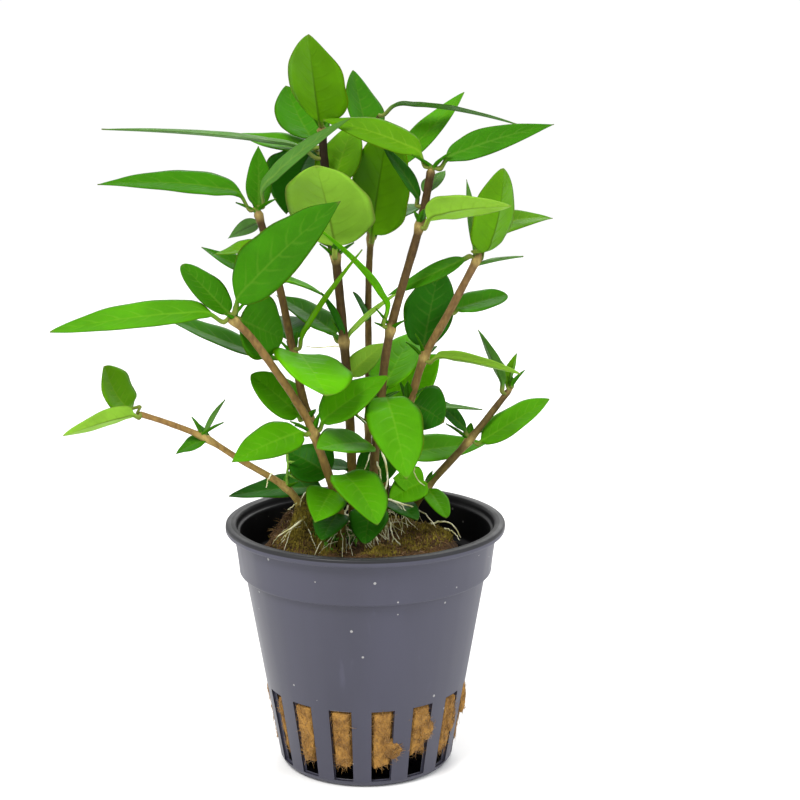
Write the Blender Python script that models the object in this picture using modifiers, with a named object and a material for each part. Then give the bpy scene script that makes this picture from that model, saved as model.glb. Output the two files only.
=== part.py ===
"""A pot of creeping staurogyne, an aquarium plant with eight leafy stems in a slotted nursery pot.

Metres, +Z up. The origin is the middle of the underside of the pot's floor, and -Y is the front.
"""

import math

import bmesh
import bpy
from mathutils import Vector

MM = 0.001
GAP = 0.3 * MM

# Pot: outer radii at the rim, collar, body and floor
POT_HEIGHT = 49.0 * MM
RIM_RADIUS = 27.5 * MM
RIM_DEPTH = 1.6 * MM
COLLAR_TOP_RADIUS = 25.9 * MM
COLLAR_FOOT_RADIUS = 24.9 * MM
STEP_HEIGHT = 39.2 * MM
BODY_TOP_RADIUS = 23.8 * MM
FLOOR_RADIUS = 17.1 * MM
FLOOR_CORNER = 0.9 * MM
WALL = 0.9 * MM
FLOOR_THICKNESS = 1.2 * MM
POT_STEPS = 30

# Slots round the foot of the pot
SLOT_COUNT = 15
SLOT_FIRST_ANGLE = math.radians(10.5)
SLOT_TOP_WIDTH = 4.5 * MM
SLOT_FOOT_WIDTH = 3.8 * MM
SLOT_BOTTOM = 1.4 * MM
SLOT_TOP = 16.6 * MM
SLOT_CORNER = 0.6 * MM
SLOT_CUT_FROM = FLOOR_RADIUS - 2.6 * MM
SLOT_CUT_TO = FLOOR_RADIUS + 6.0 * MM

# Growing plug of coir and soil, which stands on the pot's floor
PLUG_CENTRE_X = -0.9 * MM
PLUG_TOP = 44.5 * MM
PLUG_TOP_RADIUS = 19.3 * MM
PLUG_FOOT_RADIUS = 9.0 * MM
PLUG_SIDES = 22
PLUG_LUMP = 0.35 * MM
MOUND_PLACE = Vector((-11.5, -6.0)) * MM
MOUND_HEIGHT = 4.0 * MM
MOUND_SPREAD = 4.2 * MM
SOCKET_DEPTH = 5.5 * MM
SOCKET_ROOM = 0.5 * MM
SOCKET_SIDES = 8
SOCKET_OVERRUN = 10.0 * MM

# Stems: the points each one passes through, in mm, from where it enters the plug, then its radius
# at the foot and at the top, and the heights of its swollen joints
STEM_ROUTES = {
    "creeping": (
        [(-12, -6.5, 46), (-12, -6.5, 52), (-15, -8, 57.5), (-23.5, -10, 63.5), (-30, -11, 68),
         (-36.5, -12, 71), (-42.5, -12, 73)],
        0.75, 0.55, (57.5, 68),
    ),
    "front": (
        [(-4.5, -8, 46), (-5, -9, 54), (-9.5, -13, 69.5), (-12.5, -15, 76), (-16, -17, 82),
         (-20.5, -18.5, 88.7), (-24, -20, 92.5)],
        0.9, 0.7, (69.5, 92),
    ),
    "left": (
        [(-4.5, -3, 46), (-5.5, -3, 53), (-9, -4, 66), (-11.5, -4, 73), (-13.5, -5, 83),
         (-16, -6, 96.5), (-20, -6, 111)],
        0.85, 0.7, (70.5, 83, 110),
    ),
    "middle": (
        [(-2.5, 1, 46), (-2.5, 1, 52), (-3, 1, 69), (-4, 0, 84.5), (-5.5, 0, 101),
         (-7.5, 2, 118), (-8, 3, 125.5)],
        0.95, 0.8, (84.5, 101, 125),
    ),
    "back": (
        [(0, 9, 46), (0.5, 11, 71), (0.5, 12, 91), (1, 12, 103), (2.5, 14, 127)],
        0.75, 0.6, (66, 103, 119),
    ),
    "right": (
        [(1.5, -3, 46), (1.5, -3, 53), (2, -3, 64), (3, -3, 73.5), (5, -4, 87.5),
         (10.5, -6, 107.5), (12.7, -7, 118.5)],
        0.9, 0.75, (73.5, 87.5, 107.5, 118.5),
    ),
    "far_right": (
        [(3.5, 3.5, 46), (4.5, 2.5, 63.5), (8.5, 1, 72), (11.5, 0, 81.5), (16, -1, 90),
         (22, -3, 102)],
        0.9, 0.7, (72, 81.5, 101),
    ),
    "leaning": (
        [(7.5, 6, 46), (12, 5, 54), (20.5, 6, 63.5), (29, 8, 74)],
        0.85, 0.6, (54, 63.5, 74),
    ),
}
STEM_POINTS_BETWEEN = 2
JOINT_SWELL = 1.3
JOINT_HALF_LENGTH = 1.0
MERGE_DISTANCE = 0.00001

# Leaves: (name, stem, height up the stem, heading, rise, length, width, roll, arch, bluntness).
# Heights, lengths, widths and arches are in mm and angles in degrees. Heading 0 points to +X and
# 90 to +Y, roll turns the blade about its own length, and bluntness runs from 0, a drawn-out
# point, to 1, a round end.
LEAVES = [
    ("top_front", "middle", 125.5, -96, 50, 22, 12.5, -20, -0.5, 0.5),
    ("top_left", "middle", 123.9, 124, 37, 15, 11, -5, -2, 0.5),
    ("hanging_behind", "middle", 120.5, 122, -42, 19, 13.5, 0, 3, 0.4),
    ("top_behind", "back", 122, 120, 60, 15.7, 10.5, 20, -1, 0.5),
    ("arching_across", "right", 118.5, 168, 23, 21, 6.5, -45, 2, 0.3),
    ("rising_across", "left", 110.8, 1, 45, 23, 4, 40, 2.5, 0.4),
    ("thin_edge_right", "back", 127, -10, -3, 26.5, 6, -5, 2.5, 0.2),
    ("bright_behind", "back", 116.5, 20, 40.5, 23, 6, 35, -1, 0.5),
    ("long_right", "right", 118.5, 2, 21, 22.5, 5.5, 60, 1.5, 0.1),
    ("dark_upright", "right", 111, 153, 56, 13.5, 4, -15, 1, 0.4),
    ("lower_right", "right", 107.5, -52, 14, 25, 7.5, -35, 2, 0.4),
    ("upright_right", "far_right", 101.8, -36, 68, 17.3, 11.5, -10, -2.6, 0.8),
    ("pointed_right", "far_right", 101.2, 43, 17, 20.8, 5.5, 35, 4, 0.2),
    ("inward_right", "far_right", 100.8, 175, -26, 17.5, 4, -50, 0, 0.1),
    ("dark_broad", "far_right", 81.5, 75, 50, 19.5, 10, 0, 1, 0.8),
    ("oblong_behind", "far_right", 90.5, 30, 12, 12.5, 6, 30, 0.5, 1.0),
    ("sharp_edge_right", "far_right", 81, -30, -1, 19.5, 4.5, -40, 1.5, 0.8),
    ("leaning_tip_left", "leaning", 72.5, -131, 60, 15.5, 3.5, -5, 1, 0.2),
    ("leaning_right", "leaning", 63.8, 0, 33, 17, 8, 30, 0, 0.6),
    ("low_behind_right", "far_right", 60, 38, 0, 25, 7, 40, 1, 0.2),
    ("leaning_folded", "leaning", 64, 179, 47, 11, 4, -35, 0.5, 0.2),
    ("dark_round", "far_right", 72, -60, -2, 12, 10, 50, 1, 0.8),
    ("front_broad", "right", 73.5, -76, -29, 21.5, 11, 0, 3, 0.5),
    ("inner_rising", "right", 74, 69, 30, 20, 10, 0, 1, 0.4),
    ("front_bright", "left", 82.5, -66, -16, 16, 15, -12, 1.5, 1.0),
    ("lower_left_back", "left", 70.5, -178, 44, 13, 8.5, -45, 0.5, 0.9),
    ("front_rising", "front", 69.5, 17, 35, 16.5, 9, 30, 1, 0.3),
    ("inner_low", "right", 64.3, -123, 11, 18.5, 9, -26, 1, 0.5),
    ("front_left", "front", 70, -136, -7, 18, 8, -35, 1, 0.3),
    ("low_left", "left", 55, 171, -3, 20, 8, -20, 1.5, 0.5),
    ("creeping_tip_up", "creeping", 73, 174, 50, 10, 11, -15, -2, 0.9),
    ("creeping_tip_down", "creeping", 72.8, -141, -4, 16, 6, 50, 1, 0.5),
    ("long_left", "front", 92.5, -178, -3, 31.5, 7, -35, 2, 0.6),
    ("front_crossing", "front", 92.5, -12, 46, 28.5, 12, 60, 1.5, 0.3),
    ("front_drooping", "front", 91.3, 50, -24, 13, 12.5, 85, 0, 0.6),
    ("small_oval", "front", 92, 157, 42, 13.5, 6.5, -25, 0, 1.0),
    ("long_behind_left", "left", 82.5, -169, 22, 29, 7.5, -20, -1, 0.2),
    ("upper_left", "left", 110.8, -176, 10, 28.5, 7.5, -30, 3, 0.1),
    ("thin_edge_left", "middle", 119.5, -177, 8, 41, 5, -5, 2, 0.0),
    ("upper_left_behind", "middle", 121.6, 154, 7, 18, 6, -25, -0.5, 0.2),
    ("pale_front", "middle", 101, -101, 53, 23, 17, 0, 2, 0.6),
    ("pale_back", "back", 102.5, -74, 62, 25.5, 12.5, -40, 0.5, 0.8),
    ("olive_middle", "middle", 112.5, 64, 57, 16, 9.5, 0, 1, 0.4),
    ("strap", "right", 88, -156, 55, 24, 5, 0, 3, 0.2),
    ("narrow_twisted", "left", 84, -36, 53, 25, 5, 20, 1, 0.1),
    ("inner_left", "middle", 84.5, 147, 28, 16.5, 8, -10, 1, 0.3),
    ("rear_left", "left", 83.5, 100, 12, 18, 9, 0, 2, 0.3),
    ("rear_middle", "middle", 101, 118, 18, 20, 10, 0, 2, 0.3),
    ("rear_back", "back", 103, 60, 15, 20, 10, 0, 2, 0.3),
    ("rear_low", "back", 66, 15, 45, 19, 12, 50, 1, 0.4),
]
# Small leaves in the joints, which are fused to the stem that they grow from
SMALL_LEAVES = [
    ("half_hidden", "far_right", 100.5, 100, 59, 17, 2, 0, 1, 0.3),
    ("low_crinkled", "front", 59.5, 153, 27, 10.5, 9, -45, 1, 0.5),
    ("creeping_up", "creeping", 68, 29, 59, 8, 2, 5, 0.5, 0.1),
    ("upper_left_upright", "left", 110.5, 90, 74, 12, 5, 0, -2, 0.3),
    ("bud_right", "right", 112.5, 61, 32, 9, 4, 0, 1, 0.2),
    ("bud_leaning_tip", "leaning", 73.5, -60, 72, 8, 2.5, 0, 1, 0.3),
    ("thin_leaning", "far_right", 72, 16, -7, 15, 3.5, 5, 0, 0.2),
    ("small_creeping", "creeping", 67.5, -170, -19, 6.5, 5, -20, 0.5, 0.1),
    ("grey_left", "left", 108, 126, -18, 12.5, 3, 60, 0.5, 0.1),
    ("pale_left", "left", 107, -149, -23, 10.5, 5, -15, -2, 0.2),
    ("low_pointed_left", "left", 99.5, 168, 15, 14.5, 5.5, -20, -1.5, 0.1),
    ("inner_small", "left", 96.5, 47, -17, 13, 5, 20, 1, 0.2),
    ("joint_dark", "middle", 85, -150, 65, 10.5, 4, 0, 0.5, 0.5),
    ("joint_round", "back", 86.5, -150, 63, 7, 4.8, -10, 0.3, 1.0),
    ("joint_long", "middle", 84, 20, 41, 15.5, 3, 0, 1, 0.2),
    ("joint_right", "middle", 77, 8, 44, 10, 5, 60, 0.5, 0.3),
    ("low_front", "front", 58, -45, -22, 13, 12, 0, 4, 0.6),
    ("low_front_left", "front", 57, -105, -12, 12, 8, -20, 1, 0.3),
    ("low_inner_left", "leaning", 54.5, -140, -8, 10, 7, -40, 1, 0.6),
    ("low_inner_up", "leaning", 54, -148, 22, 8, 6, -70, 0.5, 0.5),
    ("low_right", "leaning", 53.5, -63, -20, 9.5, 5, 0, 1, 0.9),
    ("dark_soil_right", "far_right", 51, -50, -5, 10, 7, 0, 1, 0.6),
    ("dark_soil_front", "right", 51, -98, -20, 10, 8, 0, 2, 0.6),
    ("dark_between_left", "middle", 58, 172, 8, 9, 6, -10, 1, 0.5),
    ("dark_between_right", "middle", 59, -8, 5, 9, 8, 70, 0, 0.6),
    ("dark_soil_left", "front", 52, -110, -15, 9, 7, 0, 1, 0.5),
    ("grey_tip_right", "far_right", 99.4, -2, 13, 9.5, 2.5, 0, 0.5, 0.1),
]
LEAF_THICKNESS = 0.45 * MM
LEAF_STATIONS = 7
SMALL_LEAF_STATIONS = 6
PETIOLE_SHARE = 0.07
PETIOLE_WIDTH = 1.0 * MM
LEAF_FOLD = 0.22
TIP_WIDTH = 0.5 * MM
TIP_SHARE = 0.985
STALK_HALF_DEPTH = 0.3 * MM
FUSED_FOOT = 0.3

COLOURS = {
    "pot": (0.07, 0.08, 0.11),
    "plug": (0.16, 0.10, 0.04),
    "stem": (0.22, 0.14, 0.06),
    "leaf": (0.12, 0.32, 0.02),
}


def clear_scene():
    for obj in list(bpy.data.objects):
        bpy.data.objects.remove(obj, do_unlink=True)


def new_collection(name):
    collection = bpy.data.collections.new(name)
    bpy.context.scene.collection.children.link(collection)
    return collection


def plain_material(name, roughness):
    material = bpy.data.materials.new(name)
    material.use_nodes = True
    shader = material.node_tree.nodes["Principled BSDF"]
    shader.inputs["Base Color"].default_value = (*COLOURS[name], 1.0)
    shader.inputs["Roughness"].default_value = roughness
    return material


def add_object(name, data, collection, material=None):
    obj = bpy.data.objects.new(name, data)
    collection.objects.link(obj)
    if material:
        obj.data.materials.append(material)
    return obj


def as_helper(obj):
    """Marks an object that cuts or joins others and is no part itself."""
    obj.hide_render = True
    obj.display_type = "WIRE"
    return obj


def add_boolean(obj, operation, helpers):
    modifier = obj.modifiers.new(operation.lower(), "BOOLEAN")
    modifier.operation = operation
    modifier.solver = "EXACT"
    modifier.operand_type = "COLLECTION"
    modifier.collection = helpers


def mesh_from_rings(name, rings):
    """A closed lump lofted through rings of equal counts, with a point at each end."""
    shape = bmesh.new()
    loops = [[shape.verts.new(point) for point in ring] for ring in rings]
    for below, above in zip(loops, loops[1:]):
        if len(below) == len(above):
            count = len(below)
            for i in range(count):
                j = (i + 1) % count
                shape.faces.new((below[i], below[j], above[j], above[i]))
        elif len(below) == 1:
            for i in range(len(above)):
                shape.faces.new((below[0], above[(i + 1) % len(above)], above[i]))
        else:
            for i in range(len(below)):
                shape.faces.new((below[i], below[(i + 1) % len(below)], above[0]))
    bmesh.ops.recalc_face_normals(shape, faces=shape.faces)
    mesh = bpy.data.meshes.new(name)
    shape.to_mesh(mesh)
    shape.free()
    return mesh


def body_radius(height):
    """The pot's outer radius on the plain tapered wall below the step."""
    return FLOOR_RADIUS + (BODY_TOP_RADIUS - FLOOR_RADIUS) * height / STEP_HEIGHT


def pot_profile():
    """(radius, height) from the middle of the mouth side down the outside and back up the inside."""
    collar_inner = COLLAR_FOOT_RADIUS - WALL
    outside = [
        (RIM_RADIUS - 0.4 * MM, POT_HEIGHT),
        (RIM_RADIUS, POT_HEIGHT - 0.4 * MM),
        (RIM_RADIUS, POT_HEIGHT - RIM_DEPTH),
        (COLLAR_TOP_RADIUS, POT_HEIGHT - RIM_DEPTH - 0.3 * MM),
        (COLLAR_FOOT_RADIUS, STEP_HEIGHT + 0.8 * MM),
        (COLLAR_FOOT_RADIUS - 0.5 * MM, STEP_HEIGHT),
        (BODY_TOP_RADIUS, STEP_HEIGHT),
        (body_radius(SLOT_TOP), SLOT_TOP),
        (body_radius(FLOOR_CORNER), FLOOR_CORNER),
        (FLOOR_RADIUS - FLOOR_CORNER, 0.0),
        (0.0, 0.0),
    ]
    inside = [
        (0.0, FLOOR_THICKNESS),
        (FLOOR_RADIUS - WALL, FLOOR_THICKNESS),
        (body_radius(SLOT_TOP) - WALL, SLOT_TOP),
        (BODY_TOP_RADIUS - WALL, STEP_HEIGHT + WALL),
        (collar_inner, STEP_HEIGHT + WALL + 0.6 * MM),
        (COLLAR_TOP_RADIUS - WALL, POT_HEIGHT - 0.8 * MM),
        (COLLAR_TOP_RADIUS - 0.5 * MM, POT_HEIGHT),
    ]
    return outside + inside


def slot_cutter(index, helpers):
    """A tapered block with clipped top corners that passes through the wall."""
    angle = SLOT_FIRST_ANGLE + index * math.tau / SLOT_COUNT
    low, high = SLOT_BOTTOM, SLOT_TOP
    half_foot, half_top = SLOT_FOOT_WIDTH / 2, SLOT_TOP_WIDTH / 2
    outline = [
        (-half_foot, low),
        (half_foot, low),
        (half_top, high - SLOT_CORNER),
        (half_top - SLOT_CORNER, high),
        (SLOT_CORNER - half_top, high),
        (-half_top, high - SLOT_CORNER),
    ]
    shape = bmesh.new()
    face = shape.faces.new([shape.verts.new((SLOT_CUT_FROM, across, up)) for across, up in outline])
    pushed = bmesh.ops.extrude_face_region(shape, geom=[face])
    moved = [item for item in pushed["geom"] if isinstance(item, bmesh.types.BMVert)]
    bmesh.ops.translate(shape, verts=moved, vec=(SLOT_CUT_TO - SLOT_CUT_FROM, 0, 0))
    bmesh.ops.recalc_face_normals(shape, faces=shape.faces)
    mesh = bpy.data.meshes.new(f"slot_{index}")
    shape.to_mesh(mesh)
    shape.free()
    cutter = as_helper(add_object(f"slot_{index}", mesh, helpers))
    # Angle 0 is the front, -Y, and angles grow towards +X
    cutter.rotation_euler.z = angle - math.pi / 2


def build_pot(parts):
    profile = bpy.data.meshes.new("pot")
    points = [(radius, 0.0, height) for radius, height in pot_profile()]
    profile.from_pydata(points, [(i, i + 1) for i in range(len(points) - 1)] + [(len(points) - 1, 0)], [])
    pot = add_object("pot", profile, parts, plain_material("pot", 0.4))
    turn = pot.modifiers.new("turn", "SCREW")
    turn.steps = turn.render_steps = POT_STEPS
    turn.use_merge_vertices = True
    turn.merge_threshold = MERGE_DISTANCE
    helpers = new_collection("slot cutters")
    for index in range(SLOT_COUNT):
        slot_cutter(index, helpers)
    add_boolean(pot, "DIFFERENCE", helpers)
    return pot


def lump(angle, height):
    """A slow, repeatable unevenness between -1 and 1."""
    return math.sin(3 * angle + 900 * height) * math.cos(5 * angle - 400 * height)


def plug_top(x, y):
    """Height of the soil, a little crowned, with a mossy mound where the creeping stem comes up."""
    away = (Vector((x, y)) - MOUND_PLACE).length / MOUND_SPREAD
    crown = 1.2 * MM * (1 - (math.hypot(x - PLUG_CENTRE_X, y) / PLUG_TOP_RADIUS) ** 2)
    return PLUG_TOP + crown + MOUND_HEIGHT * math.exp(-away * away)


def build_plug(parts):
    """The plug follows the inside of the wall behind the slots and stands clear of it higher up."""
    def side(height):
        return body_radius(height) - WALL - GAP

    rows = [
        (PLUG_FOOT_RADIUS, FLOOR_THICKNESS + GAP, 0.0),
        (13.5 * MM, 2.6 * MM, 0.0),
        (side(4.6 * MM) - 0.3 * MM, 4.6 * MM, 0.0),
        (side(9 * MM), 9 * MM, 0.0),
        (side(14 * MM), 14 * MM, 0.0),
        (side(19 * MM), 19 * MM, 0.0),
        (18.9 * MM, 25 * MM, 1.0),
        (19.0 * MM, 34 * MM, 1.0),
        (PLUG_TOP_RADIUS, PLUG_TOP - 2 * MM, 1.0),
    ]
    turns = [i * math.tau / PLUG_SIDES for i in range(PLUG_SIDES)]
    rings = [[(0, 0, FLOOR_THICKNESS + GAP)]]
    for radius, height, shift in rows:
        ring = []
        for angle in turns:
            rough = radius - PLUG_LUMP * (1 + lump(angle, height))
            ring.append((
                shift * PLUG_CENTRE_X + rough * math.cos(angle), rough * math.sin(angle), height,
            ))
        rings.append(ring)
    for share in (0.94, 0.72, 0.48, 0.24):
        ring = []
        for angle in turns:
            x = PLUG_CENTRE_X + share * PLUG_TOP_RADIUS * math.cos(angle)
            y = share * PLUG_TOP_RADIUS * math.sin(angle)
            ring.append((x, y, plug_top(x, y) + PLUG_LUMP * lump(angle, share * 0.02)))
        rings.append(ring)
    rings.append([(PLUG_CENTRE_X, 0, plug_top(PLUG_CENTRE_X, 0))])
    plug = add_object("growing_plug", mesh_from_rings("growing_plug", rings), parts,
                      plain_material("plug", 0.95))
    sockets = new_collection("stem sockets")
    for name, (route, foot_radius, _, _) in STEM_ROUTES.items():
        foot = Vector(route[0]) * MM
        shape = bmesh.new()
        width = foot_radius * MM + SOCKET_ROOM
        bmesh.ops.create_cone(shape, cap_ends=True, segments=SOCKET_SIDES, radius1=width,
                              radius2=width, depth=SOCKET_DEPTH + SOCKET_OVERRUN)
        mesh = bpy.data.meshes.new(f"socket_{name}")
        shape.to_mesh(mesh)
        shape.free()
        socket = as_helper(add_object(f"socket_{name}", mesh, sockets))
        socket.location = (foot.x, foot.y, PLUG_TOP + (SOCKET_OVERRUN - SOCKET_DEPTH) / 2)
    add_boolean(plug, "DIFFERENCE", sockets)
    return plug


def stem_route(name):
    """Points in metres along a stem, smoothed through the measured ones, with the radius at each."""
    route, foot_radius, top_radius, joints = STEM_ROUTES[name]
    measured = [Vector(point) for point in route]
    buried = measured[0].copy()
    buried.z = (PLUG_TOP - SOCKET_DEPTH + GAP) / MM
    before = [measured[0] * 2 - measured[1]] + measured + [measured[-1] * 2 - measured[-2]]
    points = [buried]
    for a, b, c, d in zip(before, before[1:], before[2:], before[3:]):
        for step in range(STEM_POINTS_BETWEEN):
            t = step / STEM_POINTS_BETWEEN
            points.append(0.5 * (2 * b + (c - a) * t + (2 * a - 5 * b + 4 * c - d) * t * t
                                 + (3 * b - a - 3 * c + d) * t ** 3))
    points.append(measured[-1])
    low, high = measured[0].z, measured[-1].z
    radii = []
    for point in points:
        share = min(max((point.z - low) / (high - low), 0), 1)
        radius = foot_radius + (top_radius - foot_radius) * share
        if any(abs(point.z - joint) < JOINT_HALF_LENGTH for joint in joints):
            radius *= JOINT_SWELL
        radii.append(radius * MM)
    return [point * MM for point in points], radii


def place_on_stem(name, height):
    """(point on the axis, direction, radius) of a stem at a height."""
    points, radii = stem_route(name)
    for i in range(1, len(points)):
        if points[i].z >= height or i == len(points) - 1:
            share = (height - points[i - 1].z) / (points[i].z - points[i - 1].z)
            share = min(max(share, 0), 1)
            point = points[i - 1].lerp(points[i], share)
            radius = radii[i - 1] + (radii[i] - radii[i - 1]) * share
            return point, (points[i] - points[i - 1]).normalized(), radius
    raise ValueError(name)


def leaf_width(t, width, bluntness):
    """Full width at a share t of the length: a slim stalk, then a blade widest below the middle."""
    if t <= PETIOLE_SHARE:
        return PETIOLE_WIDTH
    u = (t - PETIOLE_SHARE) / (1 - PETIOLE_SHARE)
    rise, fall = 0.6 - 0.2 * bluntness, 1.15 - 0.6 * bluntness
    peak = rise / (rise + fall)
    shape = (u / peak) ** rise * ((1 - u) / (1 - peak)) ** fall
    edge = TIP_WIDTH if t > 0.5 else PETIOLE_WIDTH
    return max(width * shape, edge)


def bow(t):
    """How far the midrib has risen off its chord at a share t of the length, at most about 1."""
    return 2.31 * t ** 0.4 * (1 - t)


def leaf_frame(leaf, fused):
    """The leaf's foot, its length, width and face directions, and the way that its midrib bows."""
    _, stem, height, heading, rise, _, _, roll, _, _ = leaf
    heading, rise, roll = map(math.radians, (heading, rise, roll))
    along = Vector((math.cos(heading) * math.cos(rise), math.sin(heading) * math.cos(rise),
                    math.sin(rise)))
    level = Vector((-math.sin(heading), math.cos(heading), 0))
    above = along.cross(level)
    across = level * math.cos(roll) + above * math.sin(roll)
    up = above * math.cos(roll) - level * math.sin(roll)
    axis, direction, radius = place_on_stem(stem, height * MM)
    outward = along - along.dot(direction) * direction
    outward.normalize()
    half_stalk = (PETIOLE_WIDTH / 2 * abs(across.dot(outward))
                  + STALK_HALF_DEPTH * abs(up.dot(outward)))
    # A fused leaf starts inside its stem, and any other stops a gap short of it
    reach = FUSED_FOOT * radius if fused else radius + GAP + half_stalk
    return axis + outward * reach, along, across, up, above


def leaf_mesh(leaf, fused):
    name, _, _, _, _, length, width, _, arch, bluntness = leaf
    foot, along, across, up, above = leaf_frame(leaf, fused)
    length, width, arch = length * MM, width * MM, arch * MM
    shape = bmesh.new()
    rows = []
    gaps = (SMALL_LEAF_STATIONS if fused else LEAF_STATIONS) - 2
    stations = [0.0] + [PETIOLE_SHARE + (1 - PETIOLE_SHARE) * i / gaps for i in range(gaps + 1)]
    for t in stations:
        centre = foot + along * length * t + above * arch * bow(t)
        half = leaf_width(min(t, TIP_SHARE), width, bluntness) / 2
        row = []
        for side in (-1, 0, 1):
            row.append(shape.verts.new(centre + across * half * side
                                       + up * LEAF_FOLD * half * abs(side)))
        rows.append(row)
    for near, far in zip(rows, rows[1:]):
        for i in range(2):
            shape.faces.new((near[i], far[i], far[i + 1], near[i + 1]))
    mesh = bpy.data.meshes.new(name)
    shape.to_mesh(mesh)
    shape.free()
    return mesh


def add_leaf(leaf, collection, material, fused=False):
    leaf_object = add_object(f"leaf_{leaf[0]}", leaf_mesh(leaf, fused), collection, material)
    thick = leaf_object.modifiers.new("thickness", "SOLIDIFY")
    thick.thickness = LEAF_THICKNESS
    thick.offset = 0
    return leaf_object


def build_stem(name, parts, material):
    """A tube with swollen joints, made a mesh so that its small leaves can be joined to it."""
    points, radii = stem_route(name)
    thickest = max(radii)
    data = bpy.data.curves.new(f"stem_{name}", "CURVE")
    data.dimensions = "3D"
    data.bevel_depth = thickest
    data.bevel_resolution = 1
    data.use_fill_caps = True
    spline = data.splines.new("POLY")
    spline.points.add(len(points) - 1)
    for target, point, radius in zip(spline.points, points, radii):
        target.co = (*point, 1)
        target.radius = radius / thickest
    guide = add_object(f"stem_{name}_curve", data, parts)
    bpy.context.view_layer.update()
    graph = bpy.context.evaluated_depsgraph_get()
    mesh = bpy.data.meshes.new_from_object(guide.evaluated_get(graph))
    shape = bmesh.new()
    shape.from_mesh(mesh)
    bmesh.ops.remove_doubles(shape, verts=shape.verts, dist=MERGE_DISTANCE)
    bmesh.ops.recalc_face_normals(shape, faces=shape.faces)
    shape.to_mesh(mesh)
    shape.free()
    bpy.data.objects.remove(guide, do_unlink=True)
    stem = add_object(f"stem_{name}", mesh, parts, material)
    small = [leaf for leaf in SMALL_LEAVES if leaf[1] == name]
    if small:
        helpers = new_collection(f"small leaves of stem {name}")
        for leaf in small:
            as_helper(add_leaf(leaf, helpers, None, fused=True))
        add_boolean(stem, "UNION", helpers)
    return stem


def shade_round(obj):
    obj.data.shade_smooth()
    obj.data.set_sharp_from_angle(angle=math.radians(40))


def main():
    clear_scene()
    parts = new_collection("potted staurogyne")
    shade_round(build_pot(parts))
    shade_round(build_plug(parts))
    stem_material = plain_material("stem", 0.5)
    for name in STEM_ROUTES:
        shade_round(build_stem(name, parts, stem_material))
    leaf_material = plain_material("leaf", 0.4)
    for leaf in LEAVES:
        shade_round(add_leaf(leaf, parts, leaf_material))


if __name__ == "__main__":
    main()
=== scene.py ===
"""A potted creeping staurogyne, an aquarium plant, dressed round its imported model.

Run as a script it makes the pot, the coir plug, the moss, the roots, the stems and the leaves one
after another. Metres in Blender, millimetres in the tables. The pot stands on z = 0 and -Y is the
front.
"""

import math

import bpy
import numpy as np
from bpy.props import FloatProperty, FloatVectorProperty, IntProperty, PointerProperty
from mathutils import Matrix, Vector, noise


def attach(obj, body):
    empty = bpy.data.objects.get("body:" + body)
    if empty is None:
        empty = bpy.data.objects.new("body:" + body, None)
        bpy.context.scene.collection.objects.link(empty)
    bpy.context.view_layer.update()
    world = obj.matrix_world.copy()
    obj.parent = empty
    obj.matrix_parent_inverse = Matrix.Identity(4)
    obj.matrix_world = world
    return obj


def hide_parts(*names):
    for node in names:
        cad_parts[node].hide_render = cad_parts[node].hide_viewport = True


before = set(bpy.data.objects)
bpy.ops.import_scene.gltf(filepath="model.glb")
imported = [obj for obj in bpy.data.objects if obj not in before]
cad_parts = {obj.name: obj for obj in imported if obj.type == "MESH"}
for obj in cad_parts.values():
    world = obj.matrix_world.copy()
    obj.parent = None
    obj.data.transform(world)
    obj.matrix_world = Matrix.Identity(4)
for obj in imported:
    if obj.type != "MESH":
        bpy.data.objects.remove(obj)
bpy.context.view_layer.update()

bl_info = {
    "name": "Potted Staurogyne",
    "version": (1, 0, 0),
    "blender": (4, 5, 0),
    "location": "3D View > Sidebar > Staurogyne",
    "description": "Grows a pot of creeping staurogyne round its packed model",
    "category": "Add Mesh",
}

MM = 0.001
BODY = "root"

# Pot, in mm: the outer wall's radii and the slots round its foot
FLOOR_RADIUS = 17.1
BODY_TOP_RADIUS = 23.8
STEP_HEIGHT = 39.2
WALL = 0.9
POT_FLOOR = 1.2
SLOT_COUNT = 15
SLOT_FIRST_ANGLE = 10.5
SLOT_TOP_WIDTH = 4.5
SLOT_FOOT_WIDTH = 3.8
SLOT_BOTTOM = 1.4
SLOT_TOP = 16.6

# Plug, in mm
PLUG_CENTRE_X = -0.9
PLUG_TOP = 44.5
PLUG_TOP_RADIUS = 19.3
MOUND_PLACE = (-11.5, -6.0)
MOUND_HEIGHT = 4.0
MOUND_SPREAD = 4.2
SOCKET_DEPTH = 5.5
GAP = 0.3

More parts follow.
